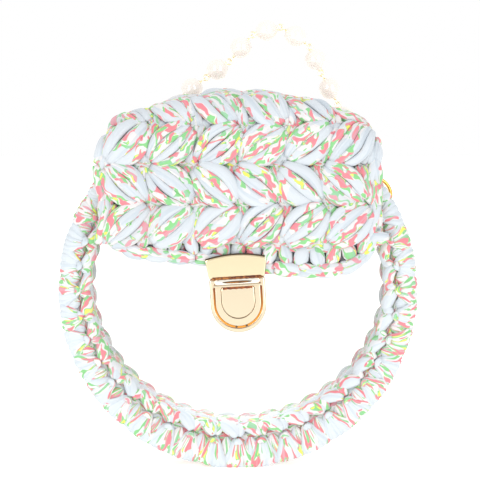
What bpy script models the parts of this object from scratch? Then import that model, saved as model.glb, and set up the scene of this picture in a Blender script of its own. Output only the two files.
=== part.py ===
"""Round crocheted frame bag with clear panels, a puff-stitch flap, a tuck lock and a pearl chain.

Metres, +Z up, front towards -Y. The model is drawn round the bag's centre, with y = 0 at the front
face of the front rim, and stands so that the chain's top link is at the world's origin.
"""

import math
from collections import namedtuple

import bmesh
import bpy
from mathutils import Matrix, Vector

# Sizes of the round body
RING_RADIUS = 0.093
BAG_DEPTH = 0.058
RIM_WIDTH = 0.0170
RIM_EXTRA_AT_BOTTOM = 0.0070
RIM_DEPTH = 0.0150
RIM_STITCHES = 40
STITCH_RELIEF = 0.0016
PANEL_COVER = 0.005
PANEL_THICKNESS = 0.003
PANEL_SIDES = 48
GUSSET_THICKNESS = 0.0060
GUSSET_DROP = 0.0030
GUSSET_LEFT_END_DEG = 137.0
GUSSET_RIGHT_END_DEG = 35.0

# Sizes of the flap and its border
FLAP_CENTRE_X = 0.0011
FLAP_HALF_WIDTH = 0.0694
FLAP_FRONT_DROP = 0.0240
FLAP_THICKNESS = 0.0095
FLAP_EDGE_THICKNESS = 0.0030
FLAP_BEND_RADIUS = 0.0090
FLAP_SEAT_GAP = 0.0008
FLAP_BACK_REACH = 0.0460
FLAP_DIP = 0.0045
FLAP_DIP_REACH = 0.0480
PUFF_PITCH = 0.0234
PUFF_ROW_HEIGHT = 0.0205
PUFF_LENGTH = 0.0260
PUFF_WIDTH = 0.0150
PUFF_LEAN_DEG = 38.0
PUFF_RELIEF = 0.0056
EDGING_SIDE_WIDTH = 0.0050
EDGING_BOTTOM_WIDTH = 0.0125
EDGING_THICKNESS = 0.0065
EDGING_RELIEF = 0.0008
EDGING_SIDES = 6

# Sizes of the tuck lock, in its own frame: x across, z up, 0 at the lower edge of the flap plate
LOCK_X = -0.0005
LOCK_Z = 0.0073
LOCK_ROLL_DEG = 3.5
LOCK_FRONT_Y = -0.0055
PLATE_TOP_WIDTH = 0.0322
PLATE_BOTTOM_WIDTH = 0.0256
PLATE_CORNER_HEIGHT = 0.0098
PLATE_MIDDLE_HEIGHT = 0.0120
PLATE_LEAF = 0.0015
PLATE_SLOT = 0.0059
CASE_WIDTH = 0.0290
CASE_HEIGHT = 0.0286
CASE_TOP_GAP = 0.0004
CASE_LIP = 0.0018
CASE_TOP_BAR = 0.0026
BUTTON_GROOVE = 0.0009
BUTTON_THICKNESS = 0.0038
BUTTON_TRAVEL = 0.0015
BUTTON_PROUD = 0.0003
BUTTON_DISH_BORDER = 0.0030
BUTTON_DISH_DEPTH = 0.0005
STEM_RADIUS = 0.0030
STEM_LENGTH = 0.0030
TONGUE_WIDTH = 0.0190
TONGUE_LENGTH = 0.0055
STUD_RADIUS = 0.0015
STUD_SPREAD = 0.0080
STUD_DROP = 0.0135
STUD_BITE = 0.0025
BACK_PLATE_THICKNESS = 0.0012
BACK_PLATE_MARGIN = 0.0020

# Sizes of the handle chain
PEARL_RADIUS = 0.0061
EYE_RADIUS = 0.00155
EYE_WIRE_RADIUS = 0.0004
EYE_SEAT = 0.00025
RING_LINK_RADIUS = 0.0090
RING_LINK_WIRE_RADIUS = 0.0010
RING_LINK_SINK = 0.0040
RING_LINK_TILT_DEG = 20.0
RING_LEFT_DEG = 139.0
RING_RIGHT_DEG = 33.0
CLASP_HALF_WIDTH = 0.0030
CLASP_WIRE_RADIUS = 0.0005
CHAIN_STAND_OFF = 0.0015

CLEARANCE = 0.0003

# The chain's route: where its top link hangs, and each pearl's slope below the horizontal
HOOK_X = 0.0236
CHAIN_RISE = 0.0463
LEFT_SLOPES_DEG = (15.0, 50.0, 34.0, 40.0, 45.0)
RIGHT_SLOPES_DEG = (34.0, 66.0, 62.0, 64.0)

RimPoint = namedtuple("RimPoint", "across through relief")
# Section of a rim: across it from the inner edge to the outer, through it from its outer face to the
# gusset's side, and how much of the stitches' relief that point takes
RIM_SECTION = (
    RimPoint(0.00, 0.40, 0.6),
    RimPoint(0.20, 0.02, 0.8),
    RimPoint(0.38, 0.15, 0.2),
    RimPoint(0.68, 0.00, 1.0),
    RimPoint(0.95, 0.20, 1.0),
    RimPoint(1.00, 0.60, 1.0),
    RimPoint(0.90, 1.00, 0.0),
    RimPoint(0.34, 1.00, 0.0),
    RimPoint(0.05, 0.80, 0.0),
)
# The back rim is the same with fewer points
BACK_RIM_SECTION = (
    RimPoint(0.00, 0.45, 0.6),
    RimPoint(0.22, 0.05, 0.6),
    RimPoint(0.72, 0.00, 1.0),
    RimPoint(1.00, 0.40, 1.0),
    RimPoint(0.90, 1.00, 0.0),
    RimPoint(0.34, 1.00, 0.0),
    RimPoint(0.05, 0.80, 0.0),
)

GussetPoint = namedtuple("GussetPoint", "height across relief")
# Section of the gusset: up from its inner face, across from the front rim to the back one
GUSSET_SECTION = (
    GussetPoint(0.00, 0.00, 0.0),
    GussetPoint(0.75, 0.00, 0.4),
    GussetPoint(1.00, 0.25, 1.0),
    GussetPoint(1.00, 0.75, 1.0),
    GussetPoint(0.75, 1.00, 0.4),
    GussetPoint(0.00, 1.00, 0.0),
)

FlapColumn = namedtuple("FlapColumn", "side top bottom")
# The flap's outline: side as a share of its half width, top as a share of its full height, and the
# lower edge as a share of its front drop
FLAP_OUTLINE = (
    FlapColumn(-1.00, 0.850, 1.75),
    FlapColumn(-0.93, 0.890, 1.45),
    FlapColumn(-0.82, 0.920, 1.28),
    FlapColumn(-0.65, 0.945, 1.20),
    FlapColumn(-0.30, 0.990, 1.10),
    FlapColumn(0.00, 1.000, 1.00),
    FlapColumn(0.30, 0.990, 0.88),
    FlapColumn(0.60, 0.960, 0.83),
    FlapColumn(0.80, 0.915, 0.92),
    FlapColumn(0.93, 0.890, 1.15),
    FlapColumn(1.00, 0.860, 1.55),
)
FLAP_COLUMNS = 24
FLAP_TOP_ROWS = 8
FLAP_BEND_ROWS = 3
FLAP_FRONT_ROWS = 13

PANEL_RADIUS = RING_RADIUS - PANEL_COVER
FLAP_TOP = RING_RADIUS + FLAP_SEAT_GAP + FLAP_THICKNESS
HOOK_Z = RING_RADIUS + CHAIN_RISE
HOOK = Vector((HOOK_X, BAG_DEPTH + PEARL_RADIUS + CHAIN_STAND_OFF, HOOK_Z))


def clear_scene():
    """Remove what is in the scene."""
    for obj in list(bpy.data.objects):
        bpy.data.objects.remove(obj, do_unlink=True)


def make_material(name, colour, roughness, metallic=0.0, alpha=1.0):
    """Return a Principled material."""
    material = bpy.data.materials.new(name)
    material.use_nodes = True
    shader = material.node_tree.nodes["Principled BSDF"]
    shader.inputs["Base Color"].default_value = (*colour, 1.0)
    shader.inputs["Roughness"].default_value = roughness
    shader.inputs["Metallic"].default_value = metallic
    shader.inputs["Alpha"].default_value = alpha
    return material


def make_object(name, vertices, faces, material, parent, smooth_deg=50.0):
    """Return a mesh object from points and faces, with its normals pointing out."""
    mesh = bpy.data.meshes.new(name)
    mesh.from_pydata([tuple(v) for v in vertices], [], faces)
    work = bmesh.new()
    work.from_mesh(mesh)
    bmesh.ops.recalc_face_normals(work, faces=work.faces)
    if work.calc_volume(signed=True) < 0:
        bmesh.ops.reverse_faces(work, faces=work.faces)
    work.to_mesh(mesh)
    work.free()
    mesh.shade_smooth()
    mesh.set_sharp_from_angle(angle=math.radians(smooth_deg))
    obj = bpy.data.objects.new(name, mesh)
    bpy.context.scene.collection.objects.link(obj)
    obj.parent = parent
    if material is not None:
        mesh.materials.append(material)
    return obj


def make_cutter(name, vertices, faces, parent):
    """Return a closed mesh that only cuts others."""
    obj = make_object(name, vertices, faces, None, parent)
    obj.hide_render = True
    obj.display_type = "WIRE"
    return obj


def cut(obj, cutter, operation="DIFFERENCE"):
    """Add a Boolean modifier to obj."""
    modifier = obj.modifiers.new(cutter.name, "BOOLEAN")
    modifier.operation = operation
    modifier.solver = "EXACT"
    modifier.object = cutter


def loft(sections, ring=False):
    """Join closed sections of equal length, end to start if ring, else with capped ends."""
    count = len(sections[0])
    vertices = [point for section in sections for point in section]
    faces = []
    last = len(sections) if ring else len(sections) - 1
    for i in range(last):
        here = i * count
        there = (i + 1) % len(sections) * count
        for j in range(count):
            k = (j + 1) % count
            faces.append((here + j, here + k, there + k, there + j))
    if not ring:
        faces.append(tuple(reversed(range(count))))
        faces.append(tuple(range((len(sections) - 1) * count, len(sections) * count)))
    return vertices, faces


def extruded(outline, y_front, y_back):
    """Return the prism of an outline of (x, z) points between two depths."""
    return loft([[Vector((x, y, z)) for x, z in outline] for y in (y_front, y_back)])


def torus(radius, wire_radius, sides, wire_sides, matrix):
    """Return a ring in the XY plane of matrix, with a corner on its +X axis."""
    sections = []
    for i in range(sides):
        turn = Matrix.Rotation(2 * math.pi * i / sides, 4, "Z")
        section = []
        for j in range(wire_sides):
            angle = 2 * math.pi * j / wire_sides
            point = Vector((radius + wire_radius * math.cos(angle), 0, wire_radius * math.sin(angle)))
            section.append(matrix @ (turn @ point))
        sections.append(section)
    return loft(sections, ring=True)


def frame_matrix(centre, x_axis, y_axis):
    """Return the matrix of a frame from its centre and two square axes."""
    z_axis = x_axis.cross(y_axis)
    matrix = Matrix((x_axis, y_axis, z_axis)).transposed().to_4x4()
    matrix.translation = centre
    return matrix


def smooth_step(value):
    """Ease from 0 to 1."""
    value = min(1.0, max(0.0, value))
    return value * value * (3 - 2 * value)


def polar(radius, angle, y):
    """Return the point at a radius and an angle from +X in the bag's front view."""
    return Vector((radius * math.cos(angle), y, radius * math.sin(angle)))


def rim_width(angle):
    """Return the rim's width, which grows towards the bottom."""
    return RIM_WIDTH + RIM_EXTRA_AT_BOTTOM * max(0.0, -math.sin(angle)) ** 1.3


def rim_mesh(table, y_face, y_gusset):
    """Return a rim's mesh, with its stitches as bulges round the ring."""
    sections = []
    steps = 2 * RIM_STITCHES
    direction = 1 if y_gusset > y_face else -1
    for i in range(steps):
        angle = 2 * math.pi * i / steps
        bulge = STITCH_RELIEF * (0.0 if i % 2 == 0 else -1.0)
        width = rim_width(angle)
        section = []
        for point in table:
            radius = RING_RADIUS - width * (1 - point.across)
            depth = y_face + direction * RIM_DEPTH * point.through
            if point.across > 0.8:
                radius += bulge * point.relief
            elif point.across < 0.1:
                radius -= bulge * point.relief
            if point.through < 0.3:
                depth -= direction * bulge * point.relief
            section.append(polar(radius, angle, depth))
        sections.append(section)
    return loft(sections, ring=True)


def disc_mesh(radius, thickness, y_centre):
    """Return a round plate in the front view."""
    outline = [
        (radius * math.cos(2 * math.pi * i / PANEL_SIDES), radius * math.sin(2 * math.pi * i / PANEL_SIDES))
        for i in range(PANEL_SIDES)
    ]
    return extruded(outline, y_centre - thickness / 2, y_centre + thickness / 2)


def gusset_mesh():
    """Return the band between the rims, round the bottom from one ring to the other."""
    start = math.radians(GUSSET_RIGHT_END_DEG)
    span = math.radians(360 - GUSSET_LEFT_END_DEG + GUSSET_RIGHT_END_DEG)
    stitches = round(RIM_STITCHES * span / (2 * math.pi))
    y_front = RIM_DEPTH + CLEARANCE
    y_width = BAG_DEPTH - 2 * y_front
    inner = RING_RADIUS - GUSSET_DROP - GUSSET_THICKNESS
    sections = []
    for i in range(2 * stitches + 1):
        angle = start - span * i / (2 * stitches)
        bulge = STITCH_RELIEF * (-1.0 if i % 2 else 0.0)
        sections.append([
            polar(inner + GUSSET_THICKNESS * p.height + bulge * p.relief, angle, y_front + y_width * p.across)
            for p in GUSSET_SECTION
        ])
    return loft(sections)


def flap_column(side):
    """Return the flap's outline row at a side share, between the table's rows."""
    for low, high in zip(FLAP_OUTLINE, FLAP_OUTLINE[1:]):
        if side <= high.side:
            t = (side - low.side) / (high.side - low.side)
            return FlapColumn(side, *(a + (b - a) * t for a, b in zip(low[1:], high[1:])))
    return FLAP_OUTLINE[-1]


def flap_dip(x, z):
    """Return how far the flap's middle sinks towards the front panel."""
    across = smooth_step(1 - abs(x) / FLAP_DIP_REACH)
    down = smooth_step((FLAP_TOP / 2 - z) / (FLAP_TOP / 2 - FLAP_FRONT_DROP))
    return FLAP_DIP * across * down


def flap_path(side, row):
    """Return the flap's middle surface and its outward direction.

    Rows run from the back end over the top, round the bend and down the front.
    """
    column = flap_column(side)
    half = FLAP_THICKNESS / 2
    y_front = -FLAP_SEAT_GAP - half
    z_top = FLAP_TOP * column.top - half
    y_bend = y_front + FLAP_BEND_RADIUS
    z_bend = z_top - FLAP_BEND_RADIUS
    x = FLAP_CENTRE_X + FLAP_HALF_WIDTH * side
    if row <= FLAP_TOP_ROWS:
        t = row / FLAP_TOP_ROWS
        seat = RING_RADIUS + FLAP_SEAT_GAP + half
        z_back = math.sqrt(max(seat * seat - x * x, half * half))
        z = z_top + (z_back - z_top) * smooth_step(1 - t)
        return Vector((x, FLAP_BACK_REACH + (y_bend - FLAP_BACK_REACH) * t, z)), Vector((0, 0, 1))
    row -= FLAP_TOP_ROWS
    if row <= FLAP_BEND_ROWS:
        angle = math.pi / 2 * (1 + row / FLAP_BEND_ROWS)
        out = Vector((0, math.cos(angle), math.sin(angle)))
        return Vector((x, y_bend, z_bend)) + out * FLAP_BEND_RADIUS, out
    row -= FLAP_BEND_ROWS
    t = row / FLAP_FRONT_ROWS
    z_low = FLAP_FRONT_DROP * column.bottom
    z = z_bend + (z_low - z_bend) * t
    return Vector((x, y_front + flap_dip(x, z), z)), Vector((0, -1, 0))


def puff_relief(x, length):
    """Return the height of the leaning puff stitches at a place on the flap.

    Args:
        x: the distance across from the flap's centre line.
        length: the distance along the flap from its lower edge.
    """
    row = math.floor(length / PUFF_ROW_HEIGHT)
    height = 0.0
    for r in (row - 1, row, row + 1):
        lean = math.radians(PUFF_LEAN_DEG if r % 2 == 0 else -PUFF_LEAN_DEG)
        middle = (r + 0.5) * PUFF_ROW_HEIGHT
        column = round(x / PUFF_PITCH - 0.5)
        for c in (column - 1, column, column + 1):
            dx = x - (c + 0.5) * PUFF_PITCH
            dz = length - middle
            along = dx * math.cos(lean) + dz * math.sin(lean)
            across = dz * math.cos(lean) - dx * math.sin(lean)
            far = (2 * along / PUFF_LENGTH) ** 2 + (2 * across / PUFF_WIDTH) ** 2
            height = max(height, math.exp(-0.9 * far))
    return PUFF_RELIEF * (height - 0.5)


def flap_mesh():
    """Return the flap: a thick sheet with puffs outside, plain inside, thinner at its edges."""
    rows = FLAP_TOP_ROWS + FLAP_BEND_ROWS + FLAP_FRONT_ROWS
    outer = []
    inner = []
    lengths = []
    for c in range(FLAP_COLUMNS + 1):
        side = 2 * c / FLAP_COLUMNS - 1
        points = [flap_path(side, r)[0] for r in range(rows + 1)]
        length = [0.0]
        for a, b in zip(reversed(points[1:]), reversed(points[:-1])):
            length.append(length[-1] + (a - b).length)
        lengths.append(list(reversed(length)))
    for r in range(rows + 1):
        for c in range(FLAP_COLUMNS + 1):
            side = 2 * c / FLAP_COLUMNS - 1
            point, out = flap_path(side, r)
            border = r in (0, rows) or c in (0, FLAP_COLUMNS)
            near = r in (1, rows - 1) or c in (1, FLAP_COLUMNS - 1)
            if border:
                up = down = FLAP_EDGE_THICKNESS / 2
            else:
                up = FLAP_THICKNESS / 2 * (0.85 if near else 1.0)
                up += puff_relief(FLAP_HALF_WIDTH * side, lengths[c][r]) * (0.5 if near else 1.0)
                down = FLAP_THICKNESS / 2
            outer.append(point + out * up)
            inner.append(point - out * down)
    across = FLAP_COLUMNS + 1
    size = len(outer)
    faces = []
    for r in range(rows):
        for c in range(FLAP_COLUMNS):
            a = r * across + c
            quad = (a, a + 1, a + across + 1, a + across)
            faces.append(quad)
            faces.append(tuple(size + k for k in reversed(quad)))
    loop = [c for c in range(across)]
    loop += [r * across + across - 1 for r in range(1, rows + 1)]
    loop += [rows * across + c for c in range(across - 2, -1, -1)]
    loop += [r * across for r in range(rows - 1, 0, -1)]
    for a, b in zip(loop, loop[1:] + loop[:1]):
        faces.append((b, a, size + a, size + b))
    return outer + inner, faces


def edging_mesh():
    """Return the border that follows the flap's sides and lower edge."""
    rows = FLAP_TOP_ROWS + FLAP_BEND_ROWS + FLAP_FRONT_ROWS
    first = FLAP_TOP_ROWS + FLAP_BEND_ROWS
    path = [flap_path(-1.0, r)[0] for r in range(first, rows)]
    path += [flap_path(2 * c / FLAP_COLUMNS - 1, rows)[0] for c in range(FLAP_COLUMNS + 1)]
    path += [flap_path(1.0, r)[0] for r in range(rows - 1, first - 1, -1)]
    sections = []
    for i, point in enumerate(path):
        before = path[max(0, i - 1)]
        after = path[min(len(path) - 1, i + 1)]
        along = (after - before).normalized()
        out = Vector((along.z, 0, -along.x)).normalized() * -1
        if out.dot(point - Vector((FLAP_CENTRE_X, point.y, FLAP_TOP / 2))) < 0:
            out = -out
        low = smooth_step(-out.z)
        width = EDGING_SIDE_WIDTH + (EDGING_BOTTOM_WIDTH - EDGING_SIDE_WIDTH) * low
        bulge = EDGING_RELIEF * (i % 2)
        section = []
        for j in range(EDGING_SIDES):
            angle = 2 * math.pi * j / EDGING_SIDES
            u = (width / 2 - bulge / 2) * (1 - math.cos(angle)) + CLEARANCE
            v = (EDGING_THICKNESS / 2 - bulge / 2) * math.sin(angle)
            section.append(point + out * u + Vector((0, v, 0)))
        sections.append(section)
    return loft(sections)


def arch_outline(width, top, bottom, steps=12):
    """Return a U outline with a flat top and a round bottom, in (x, z) points."""
    radius = width / 2
    points = [(radius, top)]
    for i in range(steps + 1):
        angle = math.pi * i / steps
        points.append((radius * math.cos(angle), bottom + radius - radius * math.sin(angle)))
    points.append((-radius, top))
    return points


def plate_outline(grow=0.0):
    """Return the flap plate's outline: narrow at the lower edge, with an arched top."""
    half_top = PLATE_TOP_WIDTH / 2 + grow
    half_bottom = PLATE_BOTTOM_WIDTH / 2 + grow
    rise = PLATE_MIDDLE_HEIGHT - PLATE_CORNER_HEIGHT
    points = [(-half_bottom, 0.0), (half_bottom, 0.0)]
    for i in range(9):
        share = 1 - i / 4
        points.append((half_top * share, PLATE_CORNER_HEIGHT + grow + rise * (1 - share * share)))
    return points


def bevelled(obj, width, segments=2):
    """Round an object's edges."""
    modifier = obj.modifiers.new("edge_round", "BEVEL")
    modifier.width = width
    modifier.segments = segments
    modifier.limit_method = "ANGLE"
    modifier.angle_limit = math.radians(50)


def box(x_range, y_range, z_range):
    """Return a box's mesh."""
    outline = [(x_range[0], z_range[0]), (x_range[1], z_range[0]), (x_range[1], z_range[1]), (x_range[0], z_range[1])]
    return extruded(outline, *y_range)


def build_lock(parent, panel, soft_pieces, gold):
    """Build the tuck lock: clip and tongue, case, button and the plate behind the panel."""
    frame = bpy.data.objects.new("lock_frame", None)
    bpy.context.scene.collection.objects.link(frame)
    frame.parent = parent
    frame.location = (LOCK_X, 0, LOCK_Z)
    frame.rotation_euler = (0, -math.radians(LOCK_ROLL_DEG), 0)

    panel_front = (RIM_DEPTH - PANEL_THICKNESS) / 2
    slot_front = LOCK_FRONT_Y + PLATE_LEAF
    slot_back = slot_front + PLATE_SLOT
    leaf_back = slot_back + PLATE_LEAF
    case_back = panel_front - CLEARANCE
    case_top = -CASE_TOP_GAP
    case_bottom = -CASE_HEIGHT

    plate = make_object("lock_flap_plate", *extruded(plate_outline(), LOCK_FRONT_Y, leaf_back), gold, frame)
    slot = make_cutter(
        "plate_slot",
        *box((-PLATE_TOP_WIDTH, PLATE_TOP_WIDTH), (slot_front, slot_back), (PLATE_LEAF, 2 * PLATE_MIDDLE_HEIGHT)),
        frame)
    tongue = make_cutter(
        "plate_tongue",
        *box((-TONGUE_WIDTH / 2, TONGUE_WIDTH / 2), (slot_back, leaf_back), (-TONGUE_LENGTH, PLATE_LEAF)),
        frame)
    cut(plate, slot)
    cut(plate, tongue, "UNION")

    reach = 3 * FLAP_THICKNESS
    half = PLATE_TOP_WIDTH / 2 + CLEARANCE
    grip_profile = (
        (-reach, -reach), (-reach, PLATE_MIDDLE_HEIGHT + CLEARANCE),
        (slot_front + CLEARANCE, PLATE_MIDDLE_HEIGHT + CLEARANCE), (slot_front + CLEARANCE, PLATE_LEAF + CLEARANCE),
        (slot_back - CLEARANCE, PLATE_LEAF + CLEARANCE), (slot_back - CLEARANCE, PLATE_MIDDLE_HEIGHT + CLEARANCE),
        (reach, PLATE_MIDDLE_HEIGHT + CLEARANCE), (reach, -reach),
    )
    grip = make_cutter("plate_grip", *loft([[Vector((x, y, z)) for y, z in grip_profile] for x in (-half, half)]), frame)
    for piece in soft_pieces:
        cut(piece, grip)

    case = make_object(
        "lock_case", *extruded(arch_outline(CASE_WIDTH, case_top, case_bottom), LOCK_FRONT_Y, case_back), gold, frame)
    pocket_floor = LOCK_FRONT_Y + BUTTON_THICKNESS - BUTTON_PROUD + BUTTON_TRAVEL + CLEARANCE
    pocket_width = CASE_WIDTH - 2 * CASE_LIP
    pocket_top = case_top - CASE_TOP_BAR
    pocket = make_cutter(
        "case_pocket",
        *extruded(arch_outline(pocket_width, pocket_top, case_bottom + CASE_LIP), -reach, pocket_floor), frame)
    cut(case, pocket)
    tongue_slot = make_cutter(
        "case_tongue_slot",
        *box((-TONGUE_WIDTH / 2 - CLEARANCE, TONGUE_WIDTH / 2 + CLEARANCE),
             (slot_back - CLEARANCE, leaf_back + CLEARANCE), (-TONGUE_LENGTH - CLEARANCE, reach)), frame)
    cut(case, tongue_slot)

    button_width = pocket_width - 2 * BUTTON_GROOVE
    button_top = pocket_top - BUTTON_GROOVE
    button_bottom = case_bottom + CASE_LIP + BUTTON_GROOVE
    button_front = LOCK_FRONT_Y - BUTTON_PROUD
    button_back = button_front + BUTTON_THICKNESS
    stem_z = (button_top + button_bottom) / 2
    button = make_object(
        "lock_button", *extruded(arch_outline(button_width, button_top, button_bottom), button_front, button_back),
        gold, frame)
    dish = make_cutter(
        "button_dish",
        *extruded(arch_outline(button_width - 2 * BUTTON_DISH_BORDER, button_top - BUTTON_DISH_BORDER / 2,
                               button_bottom + BUTTON_DISH_BORDER), -reach, button_front + BUTTON_DISH_DEPTH), frame)
    cut(button, dish)

    def rod(name, x, z, radius, y_front, y_back, maker=make_cutter):
        outline = [(x + radius * math.cos(math.pi * i / 6), z + radius * math.sin(math.pi * i / 6)) for i in range(12)]
        return maker(name, *extruded(outline, y_front, y_back), frame)

    stem = rod("button_stem", 0, stem_z, STEM_RADIUS, button_back - BUTTON_THICKNESS / 2, button_back + STEM_LENGTH)
    cut(button, stem, "UNION")
    bore = rod("case_bore", 0, stem_z, STEM_RADIUS + CLEARANCE, pocket_floor - BUTTON_TRAVEL / 2,
               button_back + STEM_LENGTH + BUTTON_TRAVEL + CLEARANCE)
    cut(case, bore)

    back_front = panel_front + PANEL_THICKNESS + CLEARANCE
    back_outline = arch_outline(CASE_WIDTH - 2 * BACK_PLATE_MARGIN, case_top - BACK_PLATE_MARGIN,
                                case_bottom + BACK_PLATE_MARGIN)
    back_plate = make_object(
        "lock_back_plate", *extruded(back_outline, back_front, back_front + BACK_PLATE_THICKNESS), gold, frame)
    for side, word in ((-1, "left"), (1, "right")):
        x = side * STUD_SPREAD
        stud = rod("stud_" + word, x, -STUD_DROP, STUD_RADIUS, case_back - STUD_BITE,
                   back_front + BACK_PLATE_THICKNESS / 2)
        cut(back_plate, stud, "UNION")
        hole = rod("stud_hole_" + word, x, -STUD_DROP, STUD_RADIUS + CLEARANCE,
                   case_back - STUD_BITE - CLEARANCE, back_front)
        cut(case, hole)
        cut(panel, hole)


def build_pearl(name, start, direction, loops_upright, pearl, parent):
    """Build one pearl with an eye loop at each end, and return the next link point.

    Args:
        name: the object's name.
        start: the link point where its first eye hangs.
        direction: unit vector along the chain.
        loops_upright: True where the eyes stand square to the chain's plane.
        pearl: the material.
        parent: the parent object.
    """
    step = 2 * (EYE_RADIUS - EYE_WIRE_RADIUS) - CLEARANCE
    offset = EYE_RADIUS if loops_upright else step - EYE_RADIUS
    arm = PEARL_RADIUS + EYE_RADIUS + EYE_WIRE_RADIUS - EYE_SEAT
    centre = start + direction * (offset + arm)
    depth = Vector((0, 1, 0))
    side = depth if loops_upright else direction.cross(depth)
    work = bmesh.new()
    bmesh.ops.create_uvsphere(work, u_segments=10, v_segments=5, radius=PEARL_RADIUS)
    turn = frame_matrix(centre, side.cross(direction), side)
    vertices = [turn @ v.co for v in work.verts]
    faces = [tuple(v.index for v in f.verts) for f in work.faces]
    work.free()
    bead = make_object(name, vertices, faces, pearl, parent)
    for end in (-1, 1):
        eye = torus(EYE_RADIUS, EYE_WIRE_RADIUS, 10, 5, frame_matrix(centre + direction * (end * arm), direction, side))
        cutter = make_cutter(f"{name}_eye_{'start' if end < 0 else 'end'}", *eye, parent)
        cut(bead, cutter, "UNION")
    return centre + direction * (arm + offset), centre + direction * arm


def build_leg(word, slopes, side, ring_deg, back_rim, materials, parent):
    """Build one leg of the chain: its pearls, clasp link and ring through the back rim."""
    pearl, gold = materials
    link = HOOK.copy()
    eye = link
    for i, slope in enumerate(slopes):
        angle = math.radians(slope)
        direction = Vector((side * math.cos(angle), 0, -math.sin(angle)))
        upright = (len(slopes) - 1 - i) % 2 == 1
        link, eye = build_pearl(f"pearl_{word}_{i + 1}", link, direction, upright, pearl, parent)

    ring_angle = math.radians(ring_deg)
    tilt = math.radians(RING_LINK_TILT_DEG)
    centre = polar(RING_RADIUS - RING_LINK_SINK, ring_angle, BAG_DEPTH)
    outward = polar(math.cos(tilt), ring_angle, math.sin(tilt))
    pull = (eye - centre).normalized()
    across = (outward - outward.dot(pull) * pull).normalized()
    ring_frame = frame_matrix(centre, pull, across)
    ring = torus(RING_LINK_RADIUS, RING_LINK_WIRE_RADIUS, 16, 6, ring_frame)
    make_object(f"ring_{word}", *ring, gold, parent)
    tunnel = torus(RING_LINK_RADIUS, RING_LINK_WIRE_RADIUS + 1.5 * CLEARANCE, 16, 6, ring_frame)
    cut(back_rim, make_cutter(f"ring_tunnel_{word}", *tunnel, parent))

    inside = RING_LINK_RADIUS - RING_LINK_WIRE_RADIUS - CLASP_WIRE_RADIUS - CLEARANCE
    start = centre + pull * inside
    length = (eye - start).length
    normal = pull.cross(across)
    sections = []
    for end, base in ((1, start + pull * (length - CLASP_HALF_WIDTH)), (-1, start + pull * CLASP_HALF_WIDTH)):
        for i in range(7):
            angle = math.pi * (i / 6 - 0.5)
            out = (pull * math.cos(angle) + normal * math.sin(angle)) * end
            section = []
            for j in range(6):
                turn = math.pi * j / 3
                reach = CLASP_HALF_WIDTH + CLASP_WIRE_RADIUS * math.cos(turn)
                section.append(base + out * reach + across * (CLASP_WIRE_RADIUS * math.sin(turn)))
            sections.append(section)
    make_object(f"clasp_{word}", *loft(sections, ring=True), gold, parent)


def main():
    """Build the bag."""
    clear_scene()
    yarn = make_material("printed_jersey_yarn", (0.80, 0.86, 0.92), 0.9)
    clear = make_material("clear_acrylic", (0.95, 0.97, 0.98), 0.05, alpha=0.2)
    gold = make_material("light_gold_metal", (0.93, 0.76, 0.50), 0.15, metallic=1.0)
    pearl = make_material("pearl_bead", (0.93, 0.90, 0.84), 0.25)

    bag = bpy.data.objects.new("bag_centre", None)
    bpy.context.scene.collection.objects.link(bag)
    bag.location = -HOOK

    front_centre = RIM_DEPTH / 2
    back_centre = BAG_DEPTH - RIM_DEPTH / 2
    front_rim = make_object("front_rim", *rim_mesh(RIM_SECTION, 0.0, RIM_DEPTH), yarn, bag)
    back_rim = make_object("back_rim", *rim_mesh(BACK_RIM_SECTION, BAG_DEPTH, BAG_DEPTH - RIM_DEPTH), yarn, bag)
    front_panel = make_object("front_panel", *disc_mesh(PANEL_RADIUS, PANEL_THICKNESS, front_centre), clear, bag)
    make_object("back_panel", *disc_mesh(PANEL_RADIUS, PANEL_THICKNESS, back_centre), clear, bag)
    for rim, centre, word in ((front_rim, front_centre, "front"), (back_rim, back_centre, "back")):
        groove = disc_mesh(PANEL_RADIUS + CLEARANCE, PANEL_THICKNESS + 2 * CLEARANCE, centre)
        cut(rim, make_cutter("panel_groove_" + word, *groove, bag))
    make_object("gusset", *gusset_mesh(), yarn, bag)

    flap = make_object("flap", *flap_mesh(), yarn, bag)
    edging = make_object("flap_edging", *edging_mesh(), yarn, bag)
    build_lock(bag, front_panel, (flap, edging), gold)

    build_leg("left", LEFT_SLOPES_DEG, -1, RING_LEFT_DEG, back_rim, (pearl, gold), bag)
    build_leg("right", RIGHT_SLOPES_DEG, 1, RING_RIGHT_DEG, back_rim, (pearl, gold), bag)


if __name__ == "__main__":
    main()
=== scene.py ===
"""Looks of a round crocheted frame bag with clear panels, a puff-stitch flap, a tuck lock and a pearl chain.

Lengths are in metres. The bag is drawn in its own frame, with y = 0 at the front face of the front rim,
z up and the ring's centre at x = z = 0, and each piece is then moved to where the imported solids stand.
"""

from __future__ import annotations

import logging
import math
from collections.abc import Callable
from dataclasses import dataclass, field
from enum import Enum, IntEnum

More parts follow.
